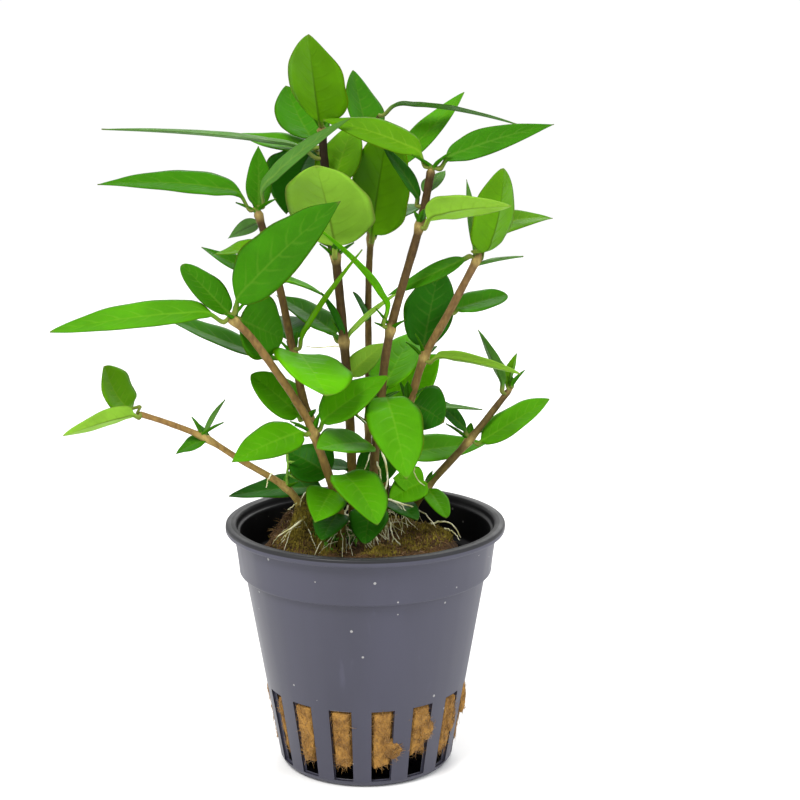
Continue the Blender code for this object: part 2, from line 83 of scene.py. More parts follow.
STEM_ROUTES = {
    "creeping": (
        [(-12, -6.5, 46), (-12, -6.5, 52), (-15, -8, 57.5), (-23.5, -10, 63.5), (-30, -11, 68),
         (-36.5, -12, 71), (-42.5, -12, 73)],
        0.75, 0.55, (57.5, 68),
    ),
    "front": (
        [(-4.5, -8, 46), (-5, -9, 54), (-9.5, -13, 69.5), (-12.5, -15, 76), (-16, -17, 82),
         (-20.5, -18.5, 88.7), (-24, -20, 92.5)],
        0.9, 0.7, (69.5, 92),
    ),
    "left": (
        [(-4.5, -3, 46), (-5.5, -3, 53), (-9, -4, 66), (-11.5, -4, 73), (-13.5, -5, 83),
         (-16, -6, 96.5), (-20, -6, 111)],
        0.85, 0.7, (70.5, 83, 110),
    ),
    "middle": (
        [(-2.5, 1, 46), (-2.5, 1, 52), (-3, 1, 69), (-4, 0, 84.5), (-5.5, 0, 101),
         (-7.5, 2, 118), (-8, 3, 125.5)],
        0.95, 0.8, (84.5, 101, 125),
    ),
    "back": (
        [(0, 9, 46), (0.5, 11, 71), (0.5, 12, 91), (1, 12, 103), (2.5, 14, 127)],
        0.75, 0.6, (66, 103, 119),
    ),
    "right": (
        [(1.5, -3, 46), (1.5, -3, 53), (2, -3, 64), (3, -3, 73.5), (5, -4, 87.5),
         (10.5, -6, 107.5), (12.7, -7, 118.5)],
        0.9, 0.75, (73.5, 87.5, 107.5, 118.5),
    ),
    "far_right": (
        [(3.5, 3.5, 46), (4.5, 2.5, 63.5), (8.5, 1, 72), (11.5, 0, 81.5), (16, -1, 90),
         (22, -3, 102)],
        0.9, 0.7, (72, 81.5, 101),
    ),
    "leaning": (
        [(7.5, 6, 46), (12, 5, 54), (20.5, 6, 63.5), (29, 8, 74)],
        0.85, 0.6, (54, 63.5, 74),
    ),
}
STEM_POINTS_BETWEEN = 2
JOINT_SWELL = 1.3
JOINT_HALF_LENGTH = 1.0
PETIOLE_SHARE = 0.07
PETIOLE_WIDTH = 1.0
LEAF_FOLD = 0.22
STALK_HALF_DEPTH = 0.3
FUSED_FOOT = 0.3
VEIN_PAIRS = 8.0
VEIN_SWEEP = 0.22
LEAF_ROWS = 48
FOOT_ROWS = 4
STALK_ROWS = 5
SMALL_LEAF_ROWS = 34
BUD_ROWS = 22
BUD_LENGTH = 6
STEM_SIDES = 16
STEM_SMOOTH_POINTS = 10

# Greens: the leaves of each tone. Any leaf not named here is fresh.
# The bright greens are painted light and the shaded greens painted shade: lighter and darker
# copies of the leaf green for leaves in full light and in shade.
TONES = {
    "bright": (
        "front_bright", "strap", "inner_small",
        "inner_rising", "rear_low", "low_inner_up", "low_inner_left",
    ),
    "grass": (
        "front_broad", "front_left", "low_front", "low_front_left", "low_right", "long_left",
        "lower_left_back", "inner_low", "low_behind_right", "front_rising",
        "upper_left_behind", "leaning_right", "bright_behind",
    ),
    "lime": (
        "pale_front", "creeping_tip_down", "lower_right", "joint_long", "joint_right",
        "sharp_edge_right",
    ),
    "olive": (
        "top_front", "upright_right", "pointed_right", "pale_left", "pale_back",
        "bud_leaning_tip", "creeping_tip_up", "olive_middle",
        "arching_across", "narrow_twisted",
    ),
    "deep": (
        "hanging_behind", "dark_upright", "dark_broad", "dark_round",
        "low_left", "dark_soil_right", "dark_soil_front", "dark_soil_left",
        "dark_between_left", "dark_between_right", "joint_dark", "rear_left", "rear_middle",
        "rear_back", "joint_round", "low_crinkled", "leaning_folded",
    ),
    "grey": (
        "rising_across", "thin_edge_left", "thin_edge_right", "grey_left", "leaning_tip_left",
        "thin_leaning", "creeping_up", "half_hidden", "bud_right", "grey_tip_right",
    ),
}

# Stem colours at the foot, halfway and at the top
STEM_TINTS = {
    "creeping": ((0.22, 0.22, 0.03), (0.25, 0.165, 0.05), (0.23, 0.135, 0.045)),
    "front": ((0.13, 0.10, 0.018), (0.19, 0.115, 0.034), (0.175, 0.104, 0.035)),
    "left": ((0.14, 0.10, 0.018), (0.12, 0.074, 0.020), (0.065, 0.037, 0.014)),
    "middle": ((0.17, 0.12, 0.02), (0.06, 0.036, 0.012), (0.018, 0.0105, 0.005)),
    "back": ((0.13, 0.09, 0.018), (0.10, 0.062, 0.018), (0.04, 0.04, 0.008)),
    "right": ((0.12, 0.085, 0.02), (0.10, 0.06, 0.020), (0.055, 0.031, 0.013)),
    "far_right": ((0.18, 0.15, 0.03), (0.18, 0.11, 0.034), (0.165, 0.097, 0.040)),
    "leaning": ((0.18, 0.155, 0.033), (0.12, 0.085, 0.024), (0.095, 0.062, 0.022)),
}
JOINT_TINT = (0.40, 0.30, 0.10)

# Roots, in mm: thin cream fibres from the stems down to the soil, with the radius at the start
ROOTS = [
    ([(-17.5, -10.0, 60.9), (-18.2, -11.0, 59.8), (-18.6, -11.0, 58.3)], 0.16),
    ([(-12.9, -9.0, 54.8), (-13.8, -10.0, 54.3), (-14.6, -10.0, 53.7)], 0.13),
    ([(-11.6, -7.2, 51.6), (-12.9, -9.5, 50.6), (-15.5, -10.0, 49.2), (-18.0, -6.2, 45.6)], 0.22),
    ([(-9.0, -4.4, 53.0), (-8.3, -5.0, 51.7), (-6.8, -5.0, 49.9), (-6.8, -6.0, 48.6),
      (-3.6, -8.3, 45.0)], 0.17),
    ([(-4.5, -4.0, 50.4), (-3.3, -5.0, 47.7), (-2.3, -4.9, 45.0)], 0.18),
    ([(-3.3, -4.0, 53.0), (-4.6, -4.6, 49.6), (-5.8, -5.0, 46.7), (-6.8, -5.9, 45.3)], 0.16),
    ([(-11.3, -8.2, 56.7), (-12.1, -9.0, 55.4), (-12.3, -8.6, 54.0)], 0.12),
    ([(3.2, -3.0, 54.2), (5.0, -3.0, 53.6), (9.7, 0.0, 51.3), (13.4, 4.0, 47.1),
      (14.2, 4.3, 45.4)], 0.2),
    ([(5.0, -2.4, 53.8), (6.0, -2.0, 52.9), (7.8, -1.0, 49.8), (8.3, -1.0, 47.6)], 0.15),
    ([(6.4, -2.2, 53.2), (7.2, -2.0, 52.3), (8.6, -1.0, 49.6)], 0.13),
    ([(4.9, -3.6, 49.4), (5.0, -4.0, 48.0), (5.4, -4.5, 46.5), (5.0, -4.9, 44.9)], 0.16),
    ([(5.4, -4.5, 46.5), (6.6, -6.0, 45.9), (7.4, -7.6, 44.9)], 0.14),
    ([(3.9, -2.6, 48.4), (3.9, -2.0, 47.4), (3.9, -1.8, 45.0)], 0.14),
    ([(0.6, -5.0, 47.9), (1.9, -5.0, 46.9), (3.9, -4.9, 44.9)], 0.15),
    ([(12.6, 5.6, 46.4), (14.4, 5.2, 47.0), (16.8, 4.5, 47.0), (18.9, 2.8, 44.4)], 0.2),
    ([(15.6, 3.0, 46.3), (17.1, 2.2, 46.0), (18.6, 1.2, 44.4)], 0.16),
    ([(2.9, -5.0, 65.2), (3.6, -5.8, 63.2), (4.5, -6.0, 59.5), (4.1, -6.0, 56.9),
      (3.3, -5.6, 54.2), (3.0, -5.0, 51.0)], 0.24),
    ([(2.4, -5.2, 62.0), (3.2, -5.9, 58.5), (3.3, -5.9, 55.0), (2.2, -5.2, 52.0)], 0.18),
    ([(1.4, -5.2, 65.4), (1.2, -6.0, 64.5), (-0.5, -7.0, 59.2)], 0.16),
    ([(8.2, 0.2, 62.6), (9.1, 0.0, 61.2), (10.3, 0.0, 57.0), (11.7, 0.0, 55.8)], 0.15),
    ([(-1.9, -1.6, 73.4), (-1.8, -4.0, 72.9), (-1.3, -4.0, 71.1), (0.3, -4.0, 69.3)], 0.17),
    ([(-3.4, 0.2, 83.6), (-5.2, 0.0, 83.7), (-8.0, -0.2, 83.4), (-11.3, 0.0, 83.5)], 0.18),
]
GREEN_STALK = [(-14.6, -8.0, 56.6), (-14.8, -8.6, 59.5), (-14.5, -9.0, 63.2), (-14.7, -9.0, 64.6)]

# Leaves: (name, stem, height up the stem, heading, rise, length, width, roll, arch, bluntness).
# Heights, lengths, widths and arches are in mm and angles in degrees. Heading 0 points to +X and
# 90 to +Y, roll turns the blade about its own length, and bluntness runs from 0, a drawn-out
# point, to 1, a round end.
LEAVES = [
    ("top_front", "middle", 125.5, -96, 50, 22, 12.5, -20, -0.5, 0.5),
    ("top_left", "middle", 123.9, 124, 37, 15, 11, -5, -2, 0.5),
    ("hanging_behind", "middle", 120.5, 122, -42, 19, 13.5, 0, 3, 0.4),
    ("top_behind", "back", 122, 120, 60, 15.7, 10.5, 20, -1, 0.5),
    ("arching_across", "right", 118.5, 168, 23, 21, 6.5, -45, 2, 0.3),
    ("rising_across", "left", 110.8, 1, 45, 23, 4, 40, 2.5, 0.4),
    ("thin_edge_right", "back", 127, -10, -3, 26.5, 6, -5, 2.5, 0.2),
    ("bright_behind", "back", 116.5, 20, 40.5, 23, 6, 35, -1, 0.5),
    ("long_right", "right", 118.5, 2, 21, 22.5, 5.5, 60, 1.5, 0.1),
    ("dark_upright", "right", 111, 153, 56, 13.5, 4, -15, 1, 0.4),
    ("lower_right", "right", 107.5, -52, 14, 25, 7.5, -35, 2, 0.4),
    ("upright_right", "far_right", 101.8, -36, 68, 17.3, 11.5, -10, -2.6, 0.8),
    ("pointed_right", "far_right", 101.2, 43, 17, 20.8, 5.5, 35, 4, 0.2),
    ("inward_right", "far_right", 100.8, 175, -26, 17.5, 4, -50, 0, 0.1),
    ("dark_broad", "far_right", 81.5, 75, 50, 19.5, 10, 0, 1, 0.8),
    ("oblong_behind", "far_right", 90.5, 30, 12, 12.5, 6, 30, 0.5, 1.0),
    ("sharp_edge_right", "far_right", 81, -30, -1, 19.5, 4.5, -40, 1.5, 0.8),
    ("leaning_tip_left", "leaning", 72.5, -131, 60, 15.5, 3.5, -5, 1, 0.2),
    ("leaning_right", "leaning", 63.8, 0, 33, 17, 8, 30, 0, 0.6),
    ("low_behind_right", "far_right", 60, 38, 0, 25, 7, 40, 1, 0.2),
    ("leaning_folded", "leaning", 64, 179, 47, 11, 4, -35, 0.5, 0.2),
    ("dark_round", "far_right", 72, -60, -2, 12, 10, 50, 1, 0.8),
    ("front_broad", "right", 73.5, -76, -29, 21.5, 11, 0, 3, 0.5),
    ("inner_rising", "right", 74, 69, 30, 20, 10, 0, 1, 0.4),
    ("front_bright", "left", 82.5, -66, -16, 16, 15, -12, 1.5, 1.0),
    ("lower_left_back", "left", 70.5, -178, 44, 13, 8.5, -45, 0.5, 0.9),
    ("front_rising", "front", 69.5, 17, 35, 16.5, 9, 30, 1, 0.3),
    ("inner_low", "right", 64.3, -123, 11, 18.5, 9, -26, 1, 0.5),
    ("front_left", "front", 70, -136, -7, 18, 8, -35, 1, 0.3),
    ("low_left", "left", 55, 171, -3, 20, 8, -20, 1.5, 0.5),
    ("creeping_tip_up", "creeping", 73, 174, 50, 10, 11, -15, -2, 0.9),
    ("creeping_tip_down", "creeping", 72.8, -141, -4, 16, 6, 50, 1, 0.5),
    ("long_left", "front", 92.5, -178, -3, 31.5, 7, -35, 2, 0.6),
    ("front_crossing", "front", 92.5, -12, 46, 28.5, 12, 60, 1.5, 0.3),
    ("front_drooping", "front", 91.3, 50, -24, 13, 12.5, 85, 0, 0.6),
    ("small_oval", "front", 92, 157, 42, 13.5, 6.5, -25, 0, 1.0),
    ("long_behind_left", "left", 82.5, -169, 22, 29, 7.5, -20, -1, 0.2),
    ("upper_left", "left", 110.8, -176, 10, 28.5, 7.5, -30, 3, 0.1),
    ("thin_edge_left", "middle", 119.5, -177, 8, 41, 5, -5, 2, 0.0),
    ("upper_left_behind", "middle", 121.6, 154, 7, 18, 6, -25, -0.5, 0.2),
    ("pale_front", "middle", 101, -101, 53, 23, 17, 0, 2, 0.6),
    ("pale_back", "back", 102.5, -74, 62, 25.5, 12.5, -40, 0.5, 0.8),
    ("olive_middle", "middle", 112.5, 64, 57, 16, 9.5, 0, 1, 0.4),
    ("strap", "right", 88, -156, 55, 24, 5, 0, 3, 0.2),
    ("narrow_twisted", "left", 84, -36, 53, 25, 5, 20, 1, 0.1),
    ("inner_left", "middle", 84.5, 147, 28, 16.5, 8, -10, 1, 0.3),
    ("rear_left", "left", 83.5, 100, 12, 18, 9, 0, 2, 0.3),
    ("rear_middle", "middle", 101, 118, 18, 20, 10, 0, 2, 0.3),
    ("rear_back", "back", 103, 60, 15, 20, 10, 0, 2, 0.3),
    ("rear_low", "back", 66, 15, 45, 19, 12, 50, 1, 0.4),
]

# Small leaves in the joints, which are fused to the stem that they grow from
SMALL_LEAVES = [
    ("half_hidden", "far_right", 100.5, 100, 59, 17, 2, 0, 1, 0.3),
    ("low_crinkled", "front", 59.5, 153, 27, 10.5, 9, -45, 1, 0.5),
    ("creeping_up", "creeping", 68, 29, 59, 8, 2, 5, 0.5, 0.1),
    ("upper_left_upright", "left", 110.5, 90, 74, 12, 5, 0, -2, 0.3),
    ("bud_right", "right", 112.5, 61, 32, 9, 4, 0, 1, 0.2),
    ("bud_leaning_tip", "leaning", 73.5, -60, 72, 8, 2.5, 0, 1, 0.3),
    ("thin_leaning", "far_right", 72, 16, -7, 15, 3.5, 5, 0, 0.2),
    ("small_creeping", "creeping", 67.5, -170, -19, 6.5, 5, -20, 0.5, 0.1),
    ("grey_left", "left", 108, 126, -18, 12.5, 3, 60, 0.5, 0.1),
    ("pale_left", "left", 107, -149, -23, 10.5, 5, -15, -2, 0.2),
    ("low_pointed_left", "left", 99.5, 168, 15, 14.5, 5.5, -20, -1.5, 0.1),
    ("inner_small", "left", 96.5, 47, -17, 13, 5, 20, 1, 0.2),
    ("joint_dark", "middle", 85, -150, 65, 10.5, 4, 0, 0.5, 0.5),
    ("joint_round", "back", 86.5, -150, 63, 7, 4.8, -10, 0.3, 1.0),
    ("joint_long", "middle", 84, 20, 41, 15.5, 3, 0, 1, 0.2),
    ("joint_right", "middle", 77, 8, 44, 10, 5, 60, 0.5, 0.3),
    ("low_front", "front", 58, -45, -22, 13, 12, 0, 4, 0.6),
    ("low_front_left", "front", 57, -105, -12, 12, 8, -20, 1, 0.3),
    ("low_inner_left", "leaning", 54.5, -140, -8, 10, 7, -40, 1, 0.6),
    ("low_inner_up", "leaning", 54, -148, 22, 8, 6, -70, 0.5, 0.5),
    ("low_right", "leaning", 53.5, -63, -20, 9.5, 5, 0, 1, 0.9),
    ("dark_soil_right", "far_right", 51, -50, -5, 10, 7, 0, 1, 0.6),
    ("dark_soil_front", "right", 51, -98, -20, 10, 8, 0, 2, 0.6),
    ("dark_between_left", "middle", 58, 172, 8, 9, 6, -10, 1, 0.5),
    ("dark_between_right", "middle", 59, -8, 5, 9, 8, 70, 0, 0.6),
    ("dark_soil_left", "front", 52, -110, -15, 9, 7, 0, 1, 0.5),
    ("grey_tip_right", "far_right", 99.4, -2, 13, 9.5, 2.5, 0, 0.5, 0.1),
]


def srgb(red, green, blue):
    """The linear colour of a measured 0 to 255 one."""
    return tuple(
        (value / 255 / 12.92) if value <= 10 else ((value / 255 + 0.055) / 1.055) ** 2.4
        for value in (red, green, blue)
    )


def colour_setting(name, description, default):
    return FloatVectorProperty(
        name=name, description=description, default=default, size=3, min=0, max=1,
        subtype="COLOR",
    )


def share_setting(name, description, default, most=1):
    return FloatProperty(name=name, description=description, default=default, min=0, max=most,
                         subtype="FACTOR")


def length_setting(name, description, default, least, most):
    return FloatProperty(name=name, description=description, default=default, min=least, max=most,
                         unit="LENGTH")


def count_setting(name, description, default, least, most):
    return IntProperty(name=name, description=description, default=default, min=least, max=most)


class PotSettings(bpy.types.PropertyGroup):
    outside: colour_setting("Outside", "Slate grey of the moulded wall", srgb(57, 57, 71))
    # Painted shade: the inside is the same plastic as the outside, coloured near-black for the
    # shade within the pot.
    inside: colour_setting("Inside", "Near-black of the inside", srgb(7, 7, 9))
    rim: colour_setting("Rim", "Dark grey of the rubbed rim", srgb(26, 26, 30))
    dust: share_setting("Dust", "How strongly the white specks show", 0.4)
    edge_round: length_setting("Slot rounding", "Width of the rounded edge of the slots",
                               0.25 * MM, 0.05 * MM, 0.5 * MM)


class PlugSettings(bpy.types.PropertyGroup):
    coir: colour_setting("Coir", "Golden brown of the coir", srgb(152, 113, 56))
    coir_dark: colour_setting("Dark coir", "Brown of the coir's hollows", srgb(100, 70, 36))
    soil: colour_setting("Soil", "Brown of the soil on top", srgb(84, 62, 38))
    soil_dark: colour_setting("Dark soil", "Brown of the damp soil", srgb(46, 32, 20))
    moss: colour_setting("Moss", "Olive of the moss", srgb(136, 122, 46))
    # Painted shade: near-black laid on the recessed foot of the plug, for the shadow under the
    # coir.
    hollow: colour_setting("Hollow", "Near-black under the coir", srgb(8, 6, 8))
    root: colour_setting("Root", "Cream of the roots", srgb(236, 234, 200))
    coir_fibres: count_setting("Coir fibres", "Fibres on the coir in the slots", 3000, 200, 6000)
    moss_leaves: count_setting("Moss leaves", "Tiny leaves of the moss", 9000, 500, 20000)


class PlantSettings(bpy.types.PropertyGroup):
    # Painted light: a lighter copy of the leaf green for leaves in full light.
    bright: colour_setting("Bright", "Sunlit leaves", srgb(84, 158, 3))
    grass: colour_setting("Grass", "Leaves in front", srgb(66, 130, 3))
    fresh: colour_setting("Fresh", "Most leaves", srgb(46, 104, 2))
    lime: colour_setting("Lime", "Palest leaves", srgb(118, 162, 46))
    olive: colour_setting("Olive", "Yellower leaves at the top", srgb(76, 126, 4))
    # Painted shade: a darker copy of the leaf green for leaves in shade.
    deep: colour_setting("Deep", "Shaded leaves", srgb(28, 84, 3))
    grey: colour_setting("Grey", "Dull leaves seen edge on", srgb(68, 112, 40))
    wave: share_setting("Margin wave", "Height of the margin's waves for its width", 0.06, 0.3)
    quilting: share_setting("Quilting", "How far the blade swells between veins", 0.009, 0.1)


class StageSettings(bpy.types.PropertyGroup):
    lens: FloatProperty(
        name="Lens", description="Focal length on a 36 mm sensor", default=79.3, min=20, max=200,
        unit="CAMERA",
    )
    distance: length_setting("Distance", "From the pot's axis to the camera", 335 * MM, 0.1, 2)
    floor: colour_setting("Floor", "White floor", (0.86, 0.86, 0.86))


def add_piece(name, mesh, replaced=()):
    """Puts a mesh in the scene as a piece of the plant, in place of the named solids."""
    piece = bpy.data.objects.new(name, mesh)
    bpy.context.scene.collection.objects.link(piece)
    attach(piece, BODY)
    if replaced:
        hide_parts(*replaced)
    return piece


def unit(vectors):
    """The vectors, along the last axis, at a length of 1."""
    return vectors / np.maximum(np.linalg.norm(vectors, axis=-1, keepdims=True), 1e-12)


def ease(values, low, high):
    """A smooth step from 0 at low to 1 at high."""
    share = np.clip((values - low) / (high - low), 0, 1)
    return share * share * (3 - 2 * share)


class Growth:
    """Collects the points, faces and finishes of one piece, in mm."""

    def __init__(self):
        self.points, self.faces, self.finishes = [], [], []
        self.marks, self.tints = [], []
        self.count = 0

    def add(self, points, faces, finish=0, marks=None, tints=None):
        """finish is a slot for all the faces or one for each; marks and tints are per point."""
        first = self.count
        self.points.append(points)
        self.faces.extend([[corner + first for corner in face] for face in faces])
        self.finishes.extend([finish] * len(faces) if np.isscalar(finish) else finish)
        blank = np.zeros((len(points), 3))
        self.marks.append(blank if marks is None else marks)
        self.tints.append(blank if tints is None else tints)
        self.count += len(points)

    def mesh(self, name, materials, smooth=True):
        mesh = bpy.data.meshes.new(name)
        points = np.vstack(self.points) * MM
        mesh.from_pydata(points.tolist(), [], self.faces)
        for material in materials:
            mesh.materials.append(material)
        mesh.polygons.foreach_set("material_index", np.array(self.finishes, dtype=np.int32))
        mesh.polygons.foreach_set("use_smooth", np.full(len(self.faces), smooth))
        for label, values in (("blade", self.marks), ("tint", self.tints)):
            painted = mesh.attributes.new(label, "FLOAT_VECTOR", "POINT")
            painted.data.foreach_set("vector", np.vstack(values).astype(np.float32).ravel())
        mesh.validate()
        mesh.update()
        return mesh


def smooth_through(knots, places, at):
    """Places on a smooth curve through the knots, at the wanted shares of its length."""
    knots, places = np.asarray(knots, float), np.asarray(places, float)
    gaps = np.diff(knots)
    slopes = np.diff(places, axis=0) / gaps[:, None]
    lean = np.empty_like(places)
    lean[0], lean[-1] = slopes[0], slopes[-1]
    weight = gaps[1:, None] / (gaps[:-1] + gaps[1:])[:, None]
    lean[1:-1] = slopes[:-1] * weight + slopes[1:] * (1 - weight)
    index = np.clip(np.searchsorted(knots, at, side="right") - 1, 0, len(gaps) - 1)
    share = ((at - knots[index]) / gaps[index])[:, None]
    gap = gaps[index][:, None]
    square, cube = share ** 2, share ** 3
    return (
        (2 * cube - 3 * square + 1) * places[index]
        + (cube - 2 * square + share) * gap * lean[index]
        + (3 * square - 2 * cube) * places[index + 1]
        + (cube - square) * gap * lean[index + 1]
    )


def grid_faces(rows, columns, closed=False, flip=False):
    """Quads over a grid of points, closed round its columns or not."""
    faces = []
    for i in range(rows - 1):
        for j in range(columns if closed else columns - 1):
            k = (j + 1) % columns
            a, b = i * columns + j, i * columns + k
            face = [a, b, b + columns, a + columns]
            faces.append(face[::-1] if flip else face)
    return faces


def tube_faces(rows, sides):
    """The faces of a tube of rings of points, with its start and its end closed as the last two."""
    last = (rows - 1) * sides
    return grid_faces(rows, sides, closed=True) + [
        list(range(sides))[::-1], [last + i for i in range(sides)]]


def repeated(faces, size, total):
    """The same faces again for every so many of the points."""
    return [[corner + first for corner in face] for first in range(0, total, size)
            for face in faces]


def facing(angle):
    """The level directions outward and to the right at an angle in degrees from the front."""
    turn = math.radians(angle)
    return (np.array((math.sin(turn), -math.cos(turn), 0.0)),
            np.array((math.cos(turn), math.sin(turn), 0.0)))


def strands(paths, radii, sides=3, taper=0.35):
    """Thin closed tubes along many short paths of equal counts, as points and faces."""
    paths = np.asarray(paths, float)
    many, count, _ = paths.shape
    ahead = unit(np.gradient(paths, axis=1))
    lean = np.array([0.31, 0.57, 0.76])
    side = unit(np.cross(ahead, lean))
    other = np.cross(ahead, side)
    turns = np.arange(sides) * math.tau / sides
    thin = 1 - (1 - taper) * np.linspace(0, 1, count)
    radius = np.asarray(radii)[:, None, None, None] * thin[None, :, None, None]
    ring = (np.cos(turns)[:, None] * side[:, :, None, :]
            + np.sin(turns)[:, None] * other[:, :, None, :])
    points = (paths[:, :, None, :] + radius * ring).reshape(-1, 3)
    size = count * sides
    return points, repeated(tube_faces(count, sides), size, many * size)


# Finishes

NOISE_ROUGHNESS = 0.55


class Finish:
    """Builds one material round its Principled shader."""

    def __init__(self, name, **sockets):
        self.material = bpy.data.materials.new(name)
        self.material.use_nodes = True
        self.tree = self.material.node_tree
        self.shader = self.tree.nodes["Principled BSDF"]
        for socket, value in sockets.items():
            label = socket.replace("_", " ").title().replace("Ior", "IOR")
            self.shader.inputs[label].default_value = value
        self.place = self.node("ShaderNodeTexCoord").outputs["Object"]

    def node(self, kind, **settings):
        made = self.tree.nodes.new(kind)
        for setting, value in settings.items():
            setattr(made, setting, value)
        return made

    def feed(self, socket, value):
        if isinstance(value, bpy.types.NodeSocket):
            self.tree.links.new(value, socket)
        elif isinstance(value, tuple) and len(value) == 3 and socket.type == "RGBA":
            socket.default_value = (*value, 1)
        else:
            socket.default_value = value

    def maths(self, operation, *values):
        made = self.node("ShaderNodeMath", operation=operation)
        for socket, value in zip(made.inputs, values):
            self.feed(socket, value)
        return made.outputs[0]

    def spread(self, value, low, high, to_low=0.0, to_high=1.0):
        """Takes a value from low to high smoothly to another range."""
        made = self.node("ShaderNodeMapRange", interpolation_type="SMOOTHSTEP")
        for socket, number in zip(made.inputs, (value, low, high, to_low, to_high)):
            self.feed(socket, number)
        return made.outputs[0]

    def mix(self, share, one, two, blend="MIX"):
        made = self.node("ShaderNodeMix", data_type="RGBA", blend_type=blend)
        self.feed(made.inputs[0], share)
        self.feed(made.inputs[6], one)
        self.feed(made.inputs[7], two)
        return made.outputs[2]

    def noise(self, scale, detail, stretch=None):
        """Noise with so many cells a metre, stretched along an axis if asked."""
        made = self.node("ShaderNodeTexNoise")
        place = self.place
        if stretch:
            turned = self.node("ShaderNodeMapping")
            turned.inputs["Scale"].default_value = stretch
            self.feed(turned.inputs["Vector"], self.place)
            place = turned.outputs[0]
        self.feed(made.inputs["Vector"], place)
        made.inputs["Scale"].default_value = scale
        made.inputs["Detail"].default_value = detail
        made.inputs["Roughness"].default_value = NOISE_ROUGHNESS
        return made.outputs[0]

    def clouds(self, scale, detail, low, high, to_low=0.0, to_high=1.0, stretch=None):
        """Noise eased from low to high to another range."""
        return self.spread(self.noise(scale, detail, stretch), low, high, to_low, to_high)

    def stain(self, body, mask, strength, colour):
        """The body's colour with another laid over it where the mask is."""
        return self.mix(self.maths("MULTIPLY", mask, strength), body, colour)

    def cells(self, scale, feature="F1"):
        made = self.node("ShaderNodeTexVoronoi", feature=feature)
        self.feed(made.inputs["Vector"], self.place)
        made.inputs["Scale"].default_value = scale
        return made

    def mark(self, name):
        made = self.node("ShaderNodeAttribute", attribute_name=name, attribute_type="GEOMETRY")
        return made.outputs["Vector"]

    def split(self, vector):
        made = self.node("ShaderNodeSeparateXYZ")
        self.feed(made.inputs[0], vector)
        return made.outputs

    def done(self, colour, roughness, *layers):
        """The material with its colour, its roughness and a stack of bumps, each a (height,
        strength, depth in metres)."""
        self.feed(self.shader.inputs["Base Color"], colour)
        self.feed(self.shader.inputs["Roughness"], roughness)
        normal = None
        for height, strength, depth in layers:
            made = self.node("ShaderNodeBump")
            made.inputs["Strength"].default_value = strength
            made.inputs["Distance"].default_value = depth
            self.feed(made.inputs["Height"], height)
            if normal:
                self.feed(made.inputs["Normal"], normal)
            normal = made.outputs[0]
            self.feed(self.shader.inputs["Normal"], normal)
        return self.material


def shade(colour, share):
    """A colour made darker or lighter by a factor."""
    return tuple(value * share for value in colour)


def leaf_finish(name, green, under):
    """Leaf tissue with a midrib, faint side veins and net, and a thin dull margin."""
    finish = Finish(
        name, specular_ior_level=0.05, subsurface_weight=0.12,
        subsurface_radius=(0.5, 1.0, 0.15), subsurface_scale=0.0005,
    )
    across, along, half = finish.split(finish.mark("blade"))
    away = finish.maths("ABSOLUTE", across)
    apart = finish.maths("MULTIPLY", away, half)
    wander = finish.noise(260, 2)
    bend = finish.maths("MULTIPLY", finish.maths("POWER", away, 1.5), -VEIN_SWEEP)
    run = finish.maths("ADD", finish.maths("ADD", along, bend),
                       finish.maths("MULTIPLY", wander, 0.05))
    offset = finish.maths("MULTIPLY", finish.maths("GREATER_THAN", across, 0.0), 0.4)
    turns = finish.maths("ADD", finish.maths("MULTIPLY", run, VEIN_PAIRS), offset)
    near = finish.maths("PINGPONG", turns, 0.5)
    fade = finish.maths("MULTIPLY", finish.spread(away, 0.2, 0.8, 1.0, 0.0),
                        finish.spread(along, 0.05, 0.2))
    vein = finish.maths("MULTIPLY", finish.spread(near, 0.0, 0.16, 1.0, 0.0), fade)
    rib_width = finish.maths("MULTIPLY_ADD", along, -0.3, 0.46)
    rib = finish.spread(finish.maths("DIVIDE", apart, rib_width), 0.2, 1.0, 1.0, 0.0)
    net = finish.cells(1100, "DISTANCE_TO_EDGE").outputs["Distance"]
    lace = finish.spread(net, 0.0, 0.09, 1.0, 0.0)
    mottle = finish.clouds(90, 3, 0.3, 0.7)
    grain = finish.clouds(1500, 2, 0.3, 0.7)
    body = finish.mix(mottle, shade(green, 0.84), shade(green, 1.16))
    body = finish.stain(body, grain, 0.08, shade(green, 0.6))
    dark_rib = (green[0] * 0.55, green[1] * 0.5, green[2] * 0.5)
    light_rib = (green[0] * 1.3 + 0.04, green[1] * 1.15 + 0.03, green[2] + 0.01)
    line, share, faint = (dark_rib, 0.9, 0.14) if under else (light_rib, 0.45, 0.3)
    body = finish.stain(body, lace, 0.05, line)
    body = finish.stain(body, vein, faint, line)
    rib_share = finish.maths("MULTIPLY", rib, finish.spread(along, 0.3, 1.0, share, 0.1))
    body = finish.mix(rib_share, body, line)
    edge = finish.spread(away, 0.92, 1.0, 0.0, 0.6)
    body = finish.mix(edge, body, (green[0] * 0.4 + 0.04, green[1] * 0.3 + 0.015, green[2]))
    tip = finish.spread(along, 0.96, 1.0, 0.0, 0.5)
    body = finish.mix(tip, body, (0.12, 0.10, 0.03))
    stalk = finish.spread(along, 0.0, 0.1, 0.7, 0.0)
    body = finish.mix(stalk, body, (0.17, 0.17, 0.04))
    side = 1.0 if under else -1.0
    return finish.done(
        body, finish.clouds(300, 3, 0.3, 0.7, 0.42, 0.58),
        (finish.maths("MULTIPLY", vein, side), 0.45, 0.00008),
        (finish.maths("MULTIPLY", lace, side), 0.12, 0.00002),
        (grain, 0.12, 0.00002),
    )


